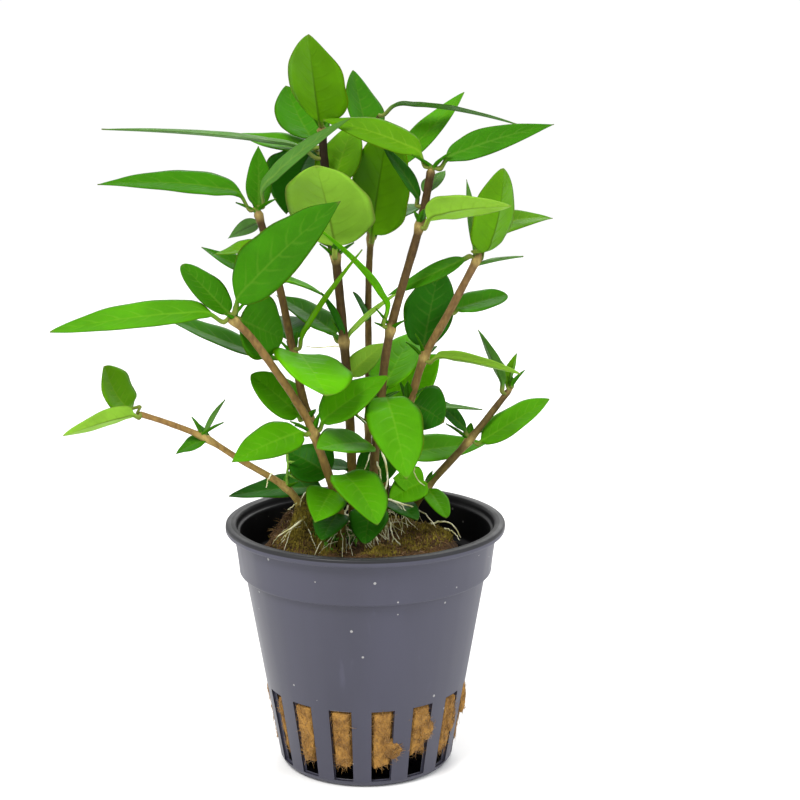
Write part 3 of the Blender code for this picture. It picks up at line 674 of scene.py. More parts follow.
def stem_finish():
    """Streaked stem skin that takes its tint from the stem, with faint warts."""
    finish = Finish("stem skin", specular_ior_level=0.1, subsurface_weight=0.08,
                    subsurface_radius=(1.0, 0.6, 0.3), subsurface_scale=0.0004)
    tint = finish.mark("tint")
    streak = finish.clouds(1300, 3, 0.3, 0.7, stretch=(1, 1, 0.5))
    blotch = finish.clouds(240, 3, 0.4, 0.62)
    dark = finish.mix(1.0, tint, (0.66, 0.62, 0.6), "MULTIPLY")
    light = finish.mix(1.0, tint, (1.15, 1.17, 1.1), "MULTIPLY")
    body = finish.mix(streak, dark, light)
    body = finish.stain(body, blotch, 0.35, tint)
    warts = finish.cells(1600).outputs["Distance"]
    return finish.done(body, finish.spread(streak, 0.0, 1.0, 0.42, 0.6),
                       (streak, 0.3, 0.00005), (warts, 0.2, 0.00003))


def pot_finish(name, colour, low, high, dust, gloss):
    """Moulded plastic with a fine skin, faint flow streaks, scuffs and a few white specks."""
    finish = Finish(name, specular_ior_level=gloss)
    flow = finish.noise(60, 3, stretch=(1, 1, 0.25))
    cloud = finish.spread(flow, 0.3, 0.7)
    body = finish.mix(cloud, shade(colour, 0.88), shade(colour, 1.12))
    scuff = finish.clouds(400, 4, 0.66, 0.8, stretch=(1, 1, 0.15))
    body = finish.stain(body, scuff, 0.25, shade(colour, 1.9))
    specks = finish.cells(450)
    size = finish.split(specks.outputs["Color"])[0]
    rare = finish.spread(size, 0.6, 1.0, 0.0, 0.12)
    spot = finish.maths("LESS_THAN", specks.outputs["Distance"], rare)
    body = finish.stain(body, spot, dust, (0.62, 0.61, 0.58))
    return finish.done(body, finish.spread(cloud, 0.0, 1.0, low, high),
                       (finish.noise(2600, 2), 0.12, 0.00004), (flow, 0.2, 0.00012),
                       (spot, 0.4, 0.00005))


def coir_finish(name, light, dark):
    """Matted fibre in clumps, with dark spots of painted shade in the small hollows between them.
    """
    finish = Finish(name, specular_ior_level=0.15)
    clump = finish.clouds(420, 4, 0.36, 0.62)
    thread = finish.clouds(2200, 4, 0.34, 0.66, stretch=(1, 1, 0.5))
    body = finish.mix(clump, dark, light)
    body = finish.stain(body, thread, 0.4, shade(light, 1.35))
    # Painted shade: dark spots for the shadow in the small hollows between the clumps.
    painted_pit_shade = finish.spread(finish.cells(1300).outputs["Distance"], 0.0, 0.35, 0.75, 0.0)
    body = finish.stain(body, painted_pit_shade, 0.35, shade(dark, 0.5))
    return finish.done(body, finish.spread(thread, 0.0, 1.0, 0.8, 0.97),
                       (clump, 0.6, 0.0003), (thread, 0.7, 0.00012))


def moss_finish(name, light, dark):
    """Tiny leaves in patches, each flecked lighter."""
    finish = Finish(name, specular_ior_level=0.15)
    patch = finish.clouds(260, 3, 0.35, 0.65)
    fleck = finish.clouds(1900, 2, 0.35, 0.65)
    body = finish.mix(patch, dark, light)
    body = finish.stain(body, fleck, 0.5, shade(light, 1.5))
    return finish.done(body, finish.spread(fleck, 0.0, 1.0, 0.55, 0.85), (fleck, 0.3, 0.00005))


def root_finish(name, light, dark):
    """A smooth strand, stained along its length."""
    finish = Finish(name, subsurface_weight=0.1,
                    subsurface_radius=(1.0, 0.8, 0.4), subsurface_scale=0.0003)
    stain = finish.clouds(380, 3, 0.42, 0.66)
    return finish.done(finish.mix(stain, light, dark),
                       finish.clouds(1500, 2, 0.3, 0.7, 0.45, 0.7),
                       (finish.noise(2400, 2), 0.25, 0.00004))


# Pot

def wall_radius(height):
    """The pot's outer radius in mm on the tapered wall below the step."""
    return FLOOR_RADIUS + (BODY_TOP_RADIUS - FLOOR_RADIUS) * height / STEP_HEIGHT


def slot_half_angle(height):
    """Half the angle in degrees that a slot takes at a height in mm."""
    share = min(max((height - SLOT_BOTTOM) / (SLOT_TOP - SLOT_BOTTOM), 0), 1)
    half = (SLOT_FOOT_WIDTH + (SLOT_TOP_WIDTH - SLOT_FOOT_WIDTH) * share) / 2
    height = min(max(height, SLOT_BOTTOM), SLOT_TOP)
    return math.degrees(math.asin(half / wall_radius(height)))


# The pot's profile outside the tapered wall, as (radius, height) in mm
POT_FOOT = ((3.0, 0.0), (8.0, 0.0), (13.0, 0.0), (15.6, 0.0), (16.1, 0.05), (16.55, 0.22),
            (16.95, 0.55))
POT_COLLAR = (
    (23.8, 39.08), (24.0, 39.16), (24.6, 39.2), (24.82, 39.28), (24.9, 39.48), (24.93, 40.3),
    (25.08, 41.6), (25.3, 43.4), (25.6, 45.4), (25.78, 46.6), (25.84, 46.95), (26.0, 47.2),
    (26.5, 47.36), (27.1, 47.4), (27.4, 47.5), (27.5, 47.75),
)
POT_RIM = ((27.5, 48.35), (27.46, 48.72), (27.3, 48.93), (27.0, 49.0), (26.4, 49.0))
POT_COLLAR_INSIDE = (
    (25.8, 48.98), (25.5, 48.86), (25.32, 48.6), (25.22, 48.1), (25.16, 47.7), (24.98, 47.52),
    (24.72, 47.46), (24.6, 47.3), (24.56, 47.0), (24.4, 45.0), (24.2, 42.6), (24.06, 41.3),
    (23.92, 40.85), (23.6, 40.55), (23.2, 40.3), (22.96, 40.0), (22.84, 39.4),
)
POT_FLOOR_INSIDE = ((16.35, 1.27), (16.0, 1.2), (12.0, 1.2), (7.0, 1.2), (3.0, 1.2))


def pot_rows(edge):
    """(radius, height, finish, in a slot) from the middle of the underside, over the rim, to the
    middle of the inside floor. Finish 0 is the outside, 1 the rim and 2 the inside."""
    low, high = SLOT_BOTTOM, SLOT_TOP
    wall = [low - edge, low, low + edge, 4, 7, 10, 13, high - 4 * edge, high - edge, high,
            high + edge]
    plain = [19, 23, 27, 31, 35]
    rows = [(r, z, 0, False) for r, z in POT_FOOT]
    rows += [(wall_radius(z), z, 0, low <= z <= high) for z in wall]
    rows += [(wall_radius(z), z, 0, False) for z in plain + [38, 38.8]]
    rows += [(r, z, 0, False) for r, z in POT_COLLAR]
    rows += [(r, z, 1, False) for r, z in POT_RIM]
    # From here the faces take finish 2, the inside, whose near-black colour is painted shade.
    rows += [(r, z, 2, False) for r, z in POT_COLLAR_INSIDE]
    rows += [(wall_radius(z) - WALL, z, 2, False) for z in plain[::-1]]
    rows += [(wall_radius(z) - WALL, z, 2, low <= z <= high) for z in wall[:0:-1]]
    return rows + [(r, z, 2, False) for r, z in POT_FLOOR_INSIDE]


def pot_columns(height, edge):
    """The angles in degrees, from the slot's middle, of the 12 columns of one slot's share."""
    half = slot_half_angle(height)
    near = math.degrees(edge / FLOOR_RADIUS)
    pitch = 180 / SLOT_COUNT
    return [-pitch, -half - 2.6 * near, -half - near, -half, -half + near, -half / 2, 0.0,
            half / 2, half - near, half, half + near, half + 2.6 * near]


def pot_mesh(settings):
    """The turned pot with its slots left open between the outer and the inner wall."""
    edge = settings.edge_round / MM
    rows = pot_rows(edge)
    share = len(pot_columns(0, edge))
    columns = share * SLOT_COUNT
    points = []
    for radius, height, _, _ in rows:
        angles = pot_columns(height, edge)
        for j in range(columns):
            angle = SLOT_FIRST_ANGLE + (j // share) * 360 / SLOT_COUNT + angles[j % share]
            turn = math.radians(angle)
            points.append((radius * math.sin(turn), -radius * math.cos(turn), height))
    faces, finishes = [], []
    open_columns = range(3, 9)

    def at(row, column):
        return row * columns + column % columns

    for i in range(len(rows) - 1):
        for j in range(columns):
            if rows[i][3] and rows[i + 1][3] and j % share in open_columns:
                continue
            faces.append([at(i, j), at(i, j + 1), at(i + 1, j + 1), at(i + 1, j)])
            finishes.append(max(rows[i][2], rows[i + 1][2]) if rows[i][2] else 0)
    slot_rows = [i for i, row in enumerate(rows) if row[3]]
    outer = slot_rows[:len(slot_rows) // 2]
    inner = slot_rows[:len(slot_rows) // 2 - 1:-1]
    for first in range(0, columns, share):
        for j, way in ((first + 3, 1), (first + 9, -1)):
            for a, b, c, d in zip(outer, outer[1:], inner, inner[1:]):
                faces.append([at(a, j), at(b, j), at(d, j), at(c, j)][::way])
        for a, c, way in ((outer[0], inner[0], -1), (outer[-1], inner[-1], 1)):
            for j in open_columns:
                j += first
                faces.append([at(a, j), at(a, j + 1), at(c, j + 1), at(c, j)][::way])
    finishes += [0] * (len(faces) - len(finishes))
    for row, height, finish, way in ((0, 0.0, 0, -1), (len(rows) - 1, POT_FLOOR, 2, 1)):
        middle = len(points)
        points.append((0.0, 0.0, height))
        faces += [[at(row, j), at(row, j + 1), middle][::way] for j in range(columns)]
        finishes += [finish] * columns
    pot = Growth()
    pot.add(np.array(points), faces, finishes)
    plastic = [
        pot_finish("slate plastic", tuple(settings.outside), 0.36, 0.5, settings.dust, 0.4),
        pot_finish("rubbed rim plastic", tuple(settings.rim), 0.4, 0.55, settings.dust * 0.6, 0.3),
        # The inside finish is painted shade, a near-black copy of the slate plastic.
        pot_finish("dark plastic", tuple(settings.inside), 0.35, 0.5, 0.15, 0.12),
    ]
    return pot.mesh("nursery_pot", plastic)


class STAUROGYNE_OT_pot(bpy.types.Operator):
    """Turn the nursery pot and open its slots"""

    bl_idname = "staurogyne.pot"
    bl_label = "Nursery Pot"

    def execute(self, context):
        pot = add_piece("nursery_pot", pot_mesh(context.scene.staurogyne_pot), ["pot"])
        rounded = pot.modifiers.new("rounded edges", "SUBSURF")
        rounded.levels = rounded.render_levels = 1
        return {"FINISHED"}


# Plug, moss and roots

SOIL_CRUMBS = 2600
SOIL_STRAWS = 900
SEEDLINGS = 110
FINE_ROOTS = 110
TUFT_FIBRES = 160
SECTOR_COLUMNS = 20
PLUG_COLUMNS = SECTOR_COLUMNS * SLOT_COUNT
SOIL_LUMPS = (
    # Middle, height and spread of each lump of soil, in mm
    ((-15.0, 3.5), 4.2, 4.6),
    ((-9.0, 9.5), 2.2, 5.0),
    ((11.5, 2.0), 1.6, 4.5),
    ((15.0, -3.0), 0.9, 3.0),
    ((3.0, -12.0), 0.8, 4.0),
)


def rough(x, y, z, size):
    """Noise between about -1 and 1 with lumps of so many mm."""
    return noise.noise(Vector((x, y, z)) / size)


def soil_height(x, y):
    """Height in mm of the soil, with a mound under the moss and lumps beside it."""
    away = math.hypot(x - MOUND_PLACE[0], y - MOUND_PLACE[1]) / MOUND_SPREAD
    share = math.hypot(x - PLUG_CENTRE_X, y) / PLUG_TOP_RADIUS
    height = PLUG_TOP + 1.2 * (1 - share ** 2) + MOUND_HEIGHT * math.exp(-away * away)
    edge = float(ease(1.0 - share, 0.0, 0.22))
    for (middle_x, middle_y), lump, spread in SOIL_LUMPS:
        near = math.hypot(x - middle_x, y - middle_y) / spread
        height += edge * lump * math.exp(-near * near)
    height += edge * (0.7 * rough(x, y, 1.0, 3.2) + 0.35 * rough(x, y, 7.0, 1.2))
    return height


def slot_room(angle, height):
    """From 0 at a slot's edge to 1 well inside it, at an angle in degrees from the front."""
    pitch = 360 / SLOT_COUNT
    off = (angle - SLOT_FIRST_ANGLE + pitch / 2) % pitch - pitch / 2
    room = (slot_half_angle(height) - abs(off)) * math.radians(1) * wall_radius(height)
    inside = float(ease(room, 0.15, 0.7)) * float(ease(SLOT_TOP - height, 0.1, 0.8))
    return inside * float(ease(height - SLOT_BOTTOM, 0.2, 0.8))


# Where the coir has come away behind the left slot, in degrees from the front
BARE_ANGLE = -65.0
BARE_HALF_ANGLE = 6.5


def coir_foot(angle):
    """The height in mm where the coir ends above the pot's floor, ragged round its edge."""
    turn = math.radians(angle)
    x, y = 18 * math.sin(turn), -18 * math.cos(turn)
    high = 2.2 * math.exp(-((angle - 34.5) / 7) ** 2)
    bare = (angle - BARE_ANGLE + 180) % 360 - 180
    high += SLOT_TOP * float(ease(BARE_HALF_ANGLE - abs(bare), 0, 1.5))
    return 4.4 + high + 0.6 * rough(x, y, 3.0, 7.0) + 0.7 * rough(x, y, 5.0, 0.9)


def coir_radius(angle, height):
    """The coir's radius in mm at an angle in degrees from the front and a height."""
    turn = math.radians(angle)
    x, y = 18 * math.sin(turn), -18 * math.cos(turn)
    behind = wall_radius(height) - WALL - GAP
    if height > SLOT_TOP + 2.4:
        behind += (19.0 - behind) * float(ease(height, SLOT_TOP + 2.4, 25.0))
    if height > 34:
        behind = 19.0 + 0.3 * (height - 34) / 8.5
    radius = behind + 0.22 * rough(x, y, height, 1.6) + 0.12 * rough(x, y, height, 0.6)
    radius += slot_room(angle, height) * (WALL + 0.25 + 0.25 * rough(x, y, height, 3.0))
    hollow = float(ease(coir_foot(angle) - height, -0.1, 0.7))
    return radius - hollow * (4.0 + 1.2 * rough(x, y, height, 1.2))


def plug_mesh(settings):
    """The plug as a closed lump: coir up its side, then soil over its top."""
    heights = [1.6, 2.0, 2.5]
    heights += list(np.linspace(3.0, SLOT_TOP + 0.4, 38))
    heights += [19, 22, 26, 30, 34, 37, 39.5, 41.2, 42.2, 43.0]
    pitch = 360 / PLUG_COLUMNS
    points = []
    for height in heights:
        shift = float(ease(height, 19.0, 26.0)) * PLUG_CENTRE_X
        for j in range(PLUG_COLUMNS):
            radius, turn = coir_radius(j * pitch, height), math.radians(j * pitch)
            points.append((shift + radius * math.sin(turn), -radius * math.cos(turn), height))
    shares = [0.985, 0.965, 0.94] + list(np.linspace(0.9, 0.04, 34))
    for share in shares:
        for j in range(PLUG_COLUMNS):
            turn = math.radians(j * pitch)
            x = PLUG_CENTRE_X + share * PLUG_TOP_RADIUS * math.sin(turn)
            y = -share * PLUG_TOP_RADIUS * math.cos(turn)
            drop = 1.3 * float(ease(share, 0.9, 1.0))
            points.append((x, y, soil_height(x, y) - drop))
    rows = len(heights) + len(shares)
    faces = tube_faces(rows, PLUG_COLUMNS)
    side = (len(heights) - 3) * PLUG_COLUMNS
    finishes = [0] * side + [1] * (len(faces) - 2 - side) + [0, 1]
    # Faces below the coir's ragged foot take finish 2, near-black painted shade in the recess.
    for number in range(side):
        row, column = divmod(number, PLUG_COLUMNS)
        if heights[row + 1] < coir_foot(column * pitch) - 0.2:
            finishes[number] = 2
    plug = Growth()
    plug.add(np.array(points), faces, finishes)
    return plug.mesh("coir_plug", [
        coir_finish("golden coir", tuple(settings.coir), tuple(settings.coir_dark)),
        coir_finish("damp soil", tuple(settings.soil), tuple(settings.soil_dark)),
        # The third finish is painted shade on the recessed foot.
        coir_finish("dark hollow", tuple(settings.hollow), shade(settings.hollow, 0.4)),
    ])


COIR_TUFTS = (
    # Angle from the front in degrees, height, half width, half height and thickness in mm
    (17.5, 8.4, 1.8, 2.2, 0.45),
    (39.0, 12.0, 1.6, 3.0, 0.45),
    (62.0, 12.5, 1.7, 4.0, 0.4),
    (82.5, 13.6, 1.8, 3.8, 0.8),
    (-36.5, 9.0, 1.5, 4.0, 0.3),
    (178.0, 9.0, 1.8, 3.4, 0.4),
    (226.0, 11.0, 1.6, 3.0, 0.4),
)


def tuft_mesh(growth, tuft, seed):
    """A flat ragged pad of coir that has pushed out through a slot."""
    angle, height, wide, tall, thick = tuft
    out, across = facing(angle)
    middle = out * (wall_radius(height) - 0.25) + np.array((0, 0, height))
    rings, sides = 12, 30
    points = []
    for i in range(rings):
        polar = math.pi * (i + 0.5) / rings
        for j in range(sides):
            around = math.tau * j / sides
            ragged = 1 + 0.22 * rough(math.cos(around) * 3, math.sin(around) * 3, seed, 1.0)
            flat = math.sin(polar)
            lift = thick * math.cos(polar)
            spot = (middle + across * wide * flat * math.cos(around) * ragged
                    + np.array((0, 0, tall * flat * math.sin(around) * ragged)) + out * lift)
            bump = 0.22 * rough(*spot, 0.8) + 0.12 * rough(*spot, 0.35)
            points.append(spot + out * bump)
    growth.add(np.array(points), tube_faces(rings, sides))


def fibre_paths(spots, ways, lengths, dice, curl, steps=5):
    """Short curved paths that start at spots and head along ways, both arrays of 3."""
    many = len(spots)
    bends = dice.normal(0, curl, (many, 3))
    share = np.linspace(0, 1, steps)[None, :, None]
    return (spots[:, None, :] + ways[:, None, :] * lengths[:, None, None] * share
            + bends[:, None, :] * lengths[:, None, None] * share * (1 - share))


def coir_fibres(settings):
    """Fibres lying every way on the coir in the slots, with a few that stick out."""
    dice = np.random.RandomState(11)
    spots, ways = [], []
    for _ in range(settings.coir_fibres):
        sector = dice.randint(SLOT_COUNT)
        height = dice.uniform(3.4, SLOT_TOP - 0.3)
        half = slot_half_angle(height) - 0.8
        angle = SLOT_FIRST_ANGLE + sector * 360 / SLOT_COUNT + dice.uniform(-half, half)
        height = max(height, coir_foot(angle) + dice.uniform(-0.5, 0.3))
        if height > SLOT_TOP:
            continue
        radius = coir_radius(angle, height)
        out, across = facing(angle)
        lean = dice.uniform(0, math.tau)
        way = across * math.cos(lean) * 0.7 + np.array((0, 0, 1.0)) * math.sin(lean)
        ways.append(way + out * dice.uniform(-0.12, 0.12))
        spots.append(out * (radius + 0.02) + np.array((0, 0, height)))
    for angle, height, wide, tall, thick in COIR_TUFTS:
        out, across = facing(angle)
        middle = out * (wall_radius(height) - 0.2) + np.array((0, 0, height))
        for _ in range(TUFT_FIBRES):
            around, reach = dice.uniform(0, math.tau), math.sqrt(dice.uniform(0, 1))
            a, b = reach * math.cos(around), reach * math.sin(around)
            lift = thick * math.sqrt(1 - reach * reach)
            spots.append(middle + across * wide * a + np.array((0, 0, tall * b)) + out * lift)
            lean = dice.uniform(0, math.tau)
            ways.append(across * math.cos(lean) + np.array((0, 0, math.sin(lean)))
                        + out * dice.uniform(-0.12, 0.06))
    lengths = dice.uniform(0.6, 1.7, len(spots))
    lengths[-TUFT_FIBRES * len(COIR_TUFTS):] *= 0.65
    radii = dice.uniform(0.03, 0.07, len(spots))
    return strands(fibre_paths(np.array(spots), unit(np.array(ways)), lengths, dice, 0.45), radii)


class STAUROGYNE_OT_plug(bpy.types.Operator):
    """Press the coir plug into the pot, with soil on top and fibres in the slots"""

    bl_idname = "staurogyne.plug"
    bl_label = "Coir Plug"

    def execute(self, context):
        settings = context.scene.staurogyne_plug
        plug = add_piece("coir_plug", plug_mesh(settings), ["growing_plug"])
        coir = plug.data.materials[0]
        tufts = Growth()
        for seed, tuft in enumerate(COIR_TUFTS):
            tuft_mesh(tufts, tuft, seed)
        add_piece("coir_tufts", tufts.mesh("coir_tufts", [coir]))
        fibres = Growth()
        fibres.add(*coir_fibres(settings))
        straw = root_finish("coir fibre", tuple(settings.coir), shade(settings.coir_dark, 1.3))
        add_piece("coir_fibres", fibres.mesh("coir_fibres", [straw]))
        return {"FINISHED"}


def soil_spots(dice, many, places):
    """Points on the soil, gathered round the given (x, y, spread) places."""
    spots = []
    while len(spots) < many:
        x, y, spread = places[dice.randint(len(places))]
        x, y = dice.normal(x, spread), dice.normal(y, spread)
        if math.hypot(x - PLUG_CENTRE_X, y) < 0.94 * PLUG_TOP_RADIUS:
            spots.append((x, y, soil_height(x, y)))
    return np.array(spots)


# Where things gather on the soil: (x, y, spread) in mm
CRUMB_PLACES = ((0.0, 0.0, 11.0), (-13.0, 3.0, 5.0), (6.0, -7.0, 6.0))
SEEDLING_PLACES = ((-7.0, -7.5, 1.6), (-4.5, -6.0, 1.8), (-5.5, -4.0, 1.4))
MOSS_PLACES = (
    (-11.5, -6.5, 2.4), (-12.0, -8.5, 2.0), (-8.0, -9.5, 1.6), (-14.0, -4.0, 2.0),
    (9.0, -5.0, 2.2), (13.0, 0.5, 2.4), (16.0, 3.0, 1.6), (3.0, -12.0, 1.6), (11.0, 6.0, 3.0),
    (0.0, 4.0, 6.0), (0.0, 11.0, 5.0),
)
# The mossy foot of the creeping stem: x, y, lowest point and height in mm
MOSSY_FOOT = (-12.0, -6.6, 47.5, 7.5)


def tiny_leaves(spots, ways, lengths, widths):
    """Pointed keeled leaflets, each of 5 points and 6 faces."""
    side = unit(np.cross(ways, np.array((0.2, 0.3, 0.93))))
    up = np.cross(side, ways)
    run = ways * lengths[:, None]
    half = side * widths[:, None] / 2
    middle = spots + run * 0.42
    points = np.stack([
        spots, middle - half + up * widths[:, None] * 0.15,
        middle + half + up * widths[:, None] * 0.15, spots + run,
        middle - up * widths[:, None] * 0.22,
    ], axis=1).reshape(-1, 3)
    one = ((0, 1, 3), (0, 3, 2), (0, 4, 1), (1, 4, 3), (4, 2, 3), (0, 2, 4))
    return points, repeated(one, 5, len(points))


def moss_mesh(settings, dice):
    """Moss in patches on the soil, climbing the mound and the foot of the creeping stem."""
    many = settings.moss_leaves
    spots = soil_spots(dice, many, MOSS_PLACES)
    climb = many // 6
    turn = dice.uniform(0, math.tau, climb)
    rise = dice.uniform(0, 1, climb) ** 1.6
    girth = 0.8 + 2.4 * (1 - rise) * dice.uniform(0.3, 1, climb)
    x, y, foot, height = MOSSY_FOOT
    spots[:climb] = np.stack([
        x + girth * np.cos(turn), y + girth * np.sin(turn), foot + height * rise,
    ], axis=1)
    ways = unit(dice.normal(0, 0.75, (many, 3)) + np.array((0, -0.1, 0.9)))
    leaves = Growth()
    leaves.add(*tiny_leaves(spots - ways * 0.15, ways, dice.uniform(0.4, 1.25, many),
                            dice.uniform(0.12, 0.34, many)))
    moss = moss_finish("olive moss", tuple(settings.moss), shade(settings.soil_dark, 1.2))
    return leaves.mesh("moss", [moss], smooth=False)


def crumbs_mesh(settings, dice):
    """Crumbs and short straws all over the soil."""
    spots = soil_spots(dice, SOIL_CRUMBS, CRUMB_PLACES)
    crumbs = Growth()
    ball = np.array([(1, 0, 0), (0, 1, 0), (-1, 0, 0), (0, -1, 0), (0, 0, 1), (0, 0, -1)])
    shell = [[0, 1, 4], [1, 2, 4], [2, 3, 4], [3, 0, 4], [1, 0, 5], [2, 1, 5], [3, 2, 5],
             [0, 3, 5]]
    size = dice.uniform(0.12, 0.42, len(spots))[:, None, None]
    lump = ball[None] * size * dice.uniform(0.6, 1.3, (len(spots), 6, 1))
    points = (spots[:, None, :] + lump).reshape(-1, 3)
    crumbs.add(points, repeated(shell, 6, len(points)))
    straws = soil_spots(dice, SOIL_STRAWS, CRUMB_PLACES)
    ways = dice.normal(0, 1, (SOIL_STRAWS, 3)) * np.array((1, 1, 0.28))
    lengths = dice.uniform(0.8, 2.2, SOIL_STRAWS)
    paths = fibre_paths(straws + np.array((0, 0, 0.1)), unit(ways), lengths, dice, 0.4)
    crumbs.add(*strands(paths, dice.uniform(0.035, 0.08, SOIL_STRAWS)), finish=1)
    crumb = coir_finish("soil crumb", shade(settings.soil, 1.15), tuple(settings.soil_dark))
    straw = root_finish("straw in soil", shade(settings.coir, 0.72),
                        shade(settings.coir_dark, 0.8))
    return crumbs.mesh("soil_crumbs", [crumb, straw], smooth=False)


def seedlings_mesh(dice):
    """Seedlings of one or two leaves on a fine stalk, between the stems."""
    spots = soil_spots(dice, SEEDLINGS, SEEDLING_PLACES)
    spots[:, 2] += dice.uniform(0.2, 3.2, SEEDLINGS)
    ways = unit(dice.normal(0, 0.6, (SEEDLINGS, 3)) + np.array((0, -0.3, 0.45)))
    seedlings = Growth()
    seedlings.add(*tiny_leaves(spots, ways, dice.uniform(1.0, 2.6, SEEDLINGS),
                               dice.uniform(0.5, 1.1, SEEDLINGS)))
    foot = spots.copy()
    foot[:, 2] = [soil_height(x, y) - 0.3 for x, y, _ in spots]
    reach = spots - foot
    lengths = np.linalg.norm(reach, axis=1)
    seedlings.add(*strands(fibre_paths(foot, unit(reach), lengths, dice, 0.15),
                           np.full(SEEDLINGS, 0.09)))
    green = moss_finish("seedling green", srgb(96, 158, 40), srgb(44, 100, 24))
    return seedlings.mesh("seedlings", [green])


class STAUROGYNE_OT_moss(bpy.types.Operator):
    """Cover the soil with moss, crumbs and seedlings"""

    bl_idname = "staurogyne.moss"
    bl_label = "Moss and Crumbs"

    def execute(self, context):
        settings = context.scene.staurogyne_plug
        dice = np.random.RandomState(23)
        add_piece("moss", moss_mesh(settings, dice))
        add_piece("soil_crumbs", crumbs_mesh(settings, dice))
        add_piece("seedlings", seedlings_mesh(dice))
        return {"FINISHED"}


def smooth_path(points, steps):
    """A polyline smoothed through its points."""
    points = np.asarray(points, float)
    gaps = np.linalg.norm(np.diff(points, axis=0), axis=1)
    knots = np.concatenate([[0], np.cumsum(gaps)])
    return smooth_through(knots, points, np.linspace(0, knots[-1], steps))


def fine_root(dice):
    """A fine root that leaves the foot of any stem and comes down on the soil."""
    stems = list(STEM_ROUTES)
    route = STEM_ROUTES[stems[dice.randint(len(stems))]][0]
    turn, reach = dice.uniform(0, math.tau), dice.uniform(3.0, 9.0)
    start = np.array(route[0]) * (1, 1, 0) + (0, 0, dice.uniform(47.0, 53.5))
    end = start + (reach * math.cos(turn), reach * math.sin(turn), 0)
    far = math.hypot(end[0] - PLUG_CENTRE_X, end[1]) / (0.92 * PLUG_TOP_RADIUS)
    if far > 1:
        end = end / far
    end[2] = soil_height(end[0], end[1]) - 0.1
    middle = (start + end) / 2 + (0, 0, dice.uniform(0.2, 1.6))
    path = smooth_path([start, middle, end], 9)
    path[1:-1] += dice.normal(0, 0.09, (7, 3))
    return path


def roots_mesh(settings):
    """The roots seen in the photograph, and fine ones at random between them."""
    dice = np.random.RandomState(5)
    roots = Growth()
    for points, thick in ROOTS:
        path = smooth_path(points, 14)
        path[1:-1] += dice.normal(0, 0.07, (12, 3))
        roots.add(*strands([path], [thick], sides=6, taper=0.5))
    fine = [fine_root(dice) for _ in range(FINE_ROOTS)]
    roots.add(*strands(fine, dice.uniform(0.07, 0.15, FINE_ROOTS), sides=4, taper=0.4))
    cream = root_finish("cream root", tuple(settings.root), (0.42, 0.40, 0.14))
    return roots.mesh("roots", [cream])


def sprout_mesh():
    """A bare green stalk beside the front stem, with three tiny leaves."""
    stalk = Growth()
    stalk.add(*strands([smooth_path(GREEN_STALK, 14)], [0.32], sides=8, taper=0.7))
    spots = np.array([(-14.7, -9.0, 64.2), (-14.6, -8.8, 62.6), (-14.8, -8.8, 60.4)])
    ways = unit(np.array([(0.1, -0.5, 0.9), (0.6, -0.7, 0.3), (0.8, -0.5, -0.2)]))
    stalk.add(*tiny_leaves(spots, ways, np.array([2.4, 2.6, 3.2]), np.array([0.9, 1.3, 1.5])))
    sprout = moss_finish("sprout green", srgb(110, 150, 52), srgb(80, 112, 36))
    return stalk.mesh("green_sprout", [sprout])


class STAUROGYNE_OT_roots(bpy.types.Operator):
    """Draw the pale roots from the stems down to the soil"""

    bl_idname = "staurogyne.roots"
    bl_label = "Roots"

    def execute(self, context):
        add_piece("roots", roots_mesh(context.scene.staurogyne_plug))
        add_piece("green_sprout", sprout_mesh())
        return {"FINISHED"}


# Stems and leaves

def stem_line(name, between):
    """Points in mm along a stem, smoothed through the measured ones, and the radius at each."""
    route, foot_radius, top_radius, joints = STEM_ROUTES[name]
    measured = np.array(route, float)
    buried = measured[0] * (1, 1, 0) + (0, 0, PLUG_TOP - SOCKET_DEPTH + GAP)
    before = np.vstack([2 * measured[0] - measured[1], measured, 2 * measured[-1] - measured[-2]])
    points = [buried]
    for a, b, c, d in zip(before, before[1:], before[2:], before[3:]):
        for step in range(between):
            t = step / between
            points.append(0.5 * (2 * b + (c - a) * t + (2 * a - 5 * b + 4 * c - d) * t * t
                                 + (3 * b - a - 3 * c + d) * t ** 3))
    points.append(measured[-1])
    points = np.array(points)
    low, high = measured[0][2], measured[-1][2]
    share = np.clip((points[:, 2] - low) / (high - low), 0, 1)
    radii = foot_radius + (top_radius - foot_radius) * share
    return points, radii, share, joints


def place_on_stem(name, height):
    """(point on the axis, direction, radius) of a stem at a height in mm."""
    points, radii, _, joints = stem_line(name, STEM_POINTS_BETWEEN)
    for joint in joints:
        radii = np.where(abs(points[:, 2] - joint) < JOINT_HALF_LENGTH, radii * JOINT_SWELL, radii)
    i = next((i for i in range(1, len(points)) if points[i][2] >= height), len(points) - 1)
    low, high = points[i - 1], points[i]
    share = min(max((height - low[2]) / (high[2] - low[2]), 0), 1)
    return (low + (high - low) * share, unit(high - low),
            radii[i - 1] + (radii[i] - radii[i - 1]) * share)


def leaf_frame(leaf, fused):
    """The leaf's foot, its directions along, across and up, and up before its roll, then its
    stem's axis, the way out from it and the stem's radius. A fused leaf starts inside its stem."""
    _, stem, height, heading, rise, _, _, roll, _, _ = leaf
    heading, rise, roll = map(math.radians, (heading, rise, roll))
    along = np.array((math.cos(heading) * math.cos(rise), math.sin(heading) * math.cos(rise),
                      math.sin(rise)))
    level = np.array((-math.sin(heading), math.cos(heading), 0))
    above = np.cross(along, level)
    across = level * math.cos(roll) + above * math.sin(roll)
    up = above * math.cos(roll) - level * math.sin(roll)
    axis, direction, radius = place_on_stem(stem, height)
    outward = unit(along - along.dot(direction) * direction)
    half_stalk = (PETIOLE_WIDTH / 2 * abs(across.dot(outward))
                  + STALK_HALF_DEPTH * abs(up.dot(outward)))
    reach = FUSED_FOOT * radius if fused else radius + GAP + half_stalk
    return axis + outward * reach, along, across, up, above, axis, outward, radius


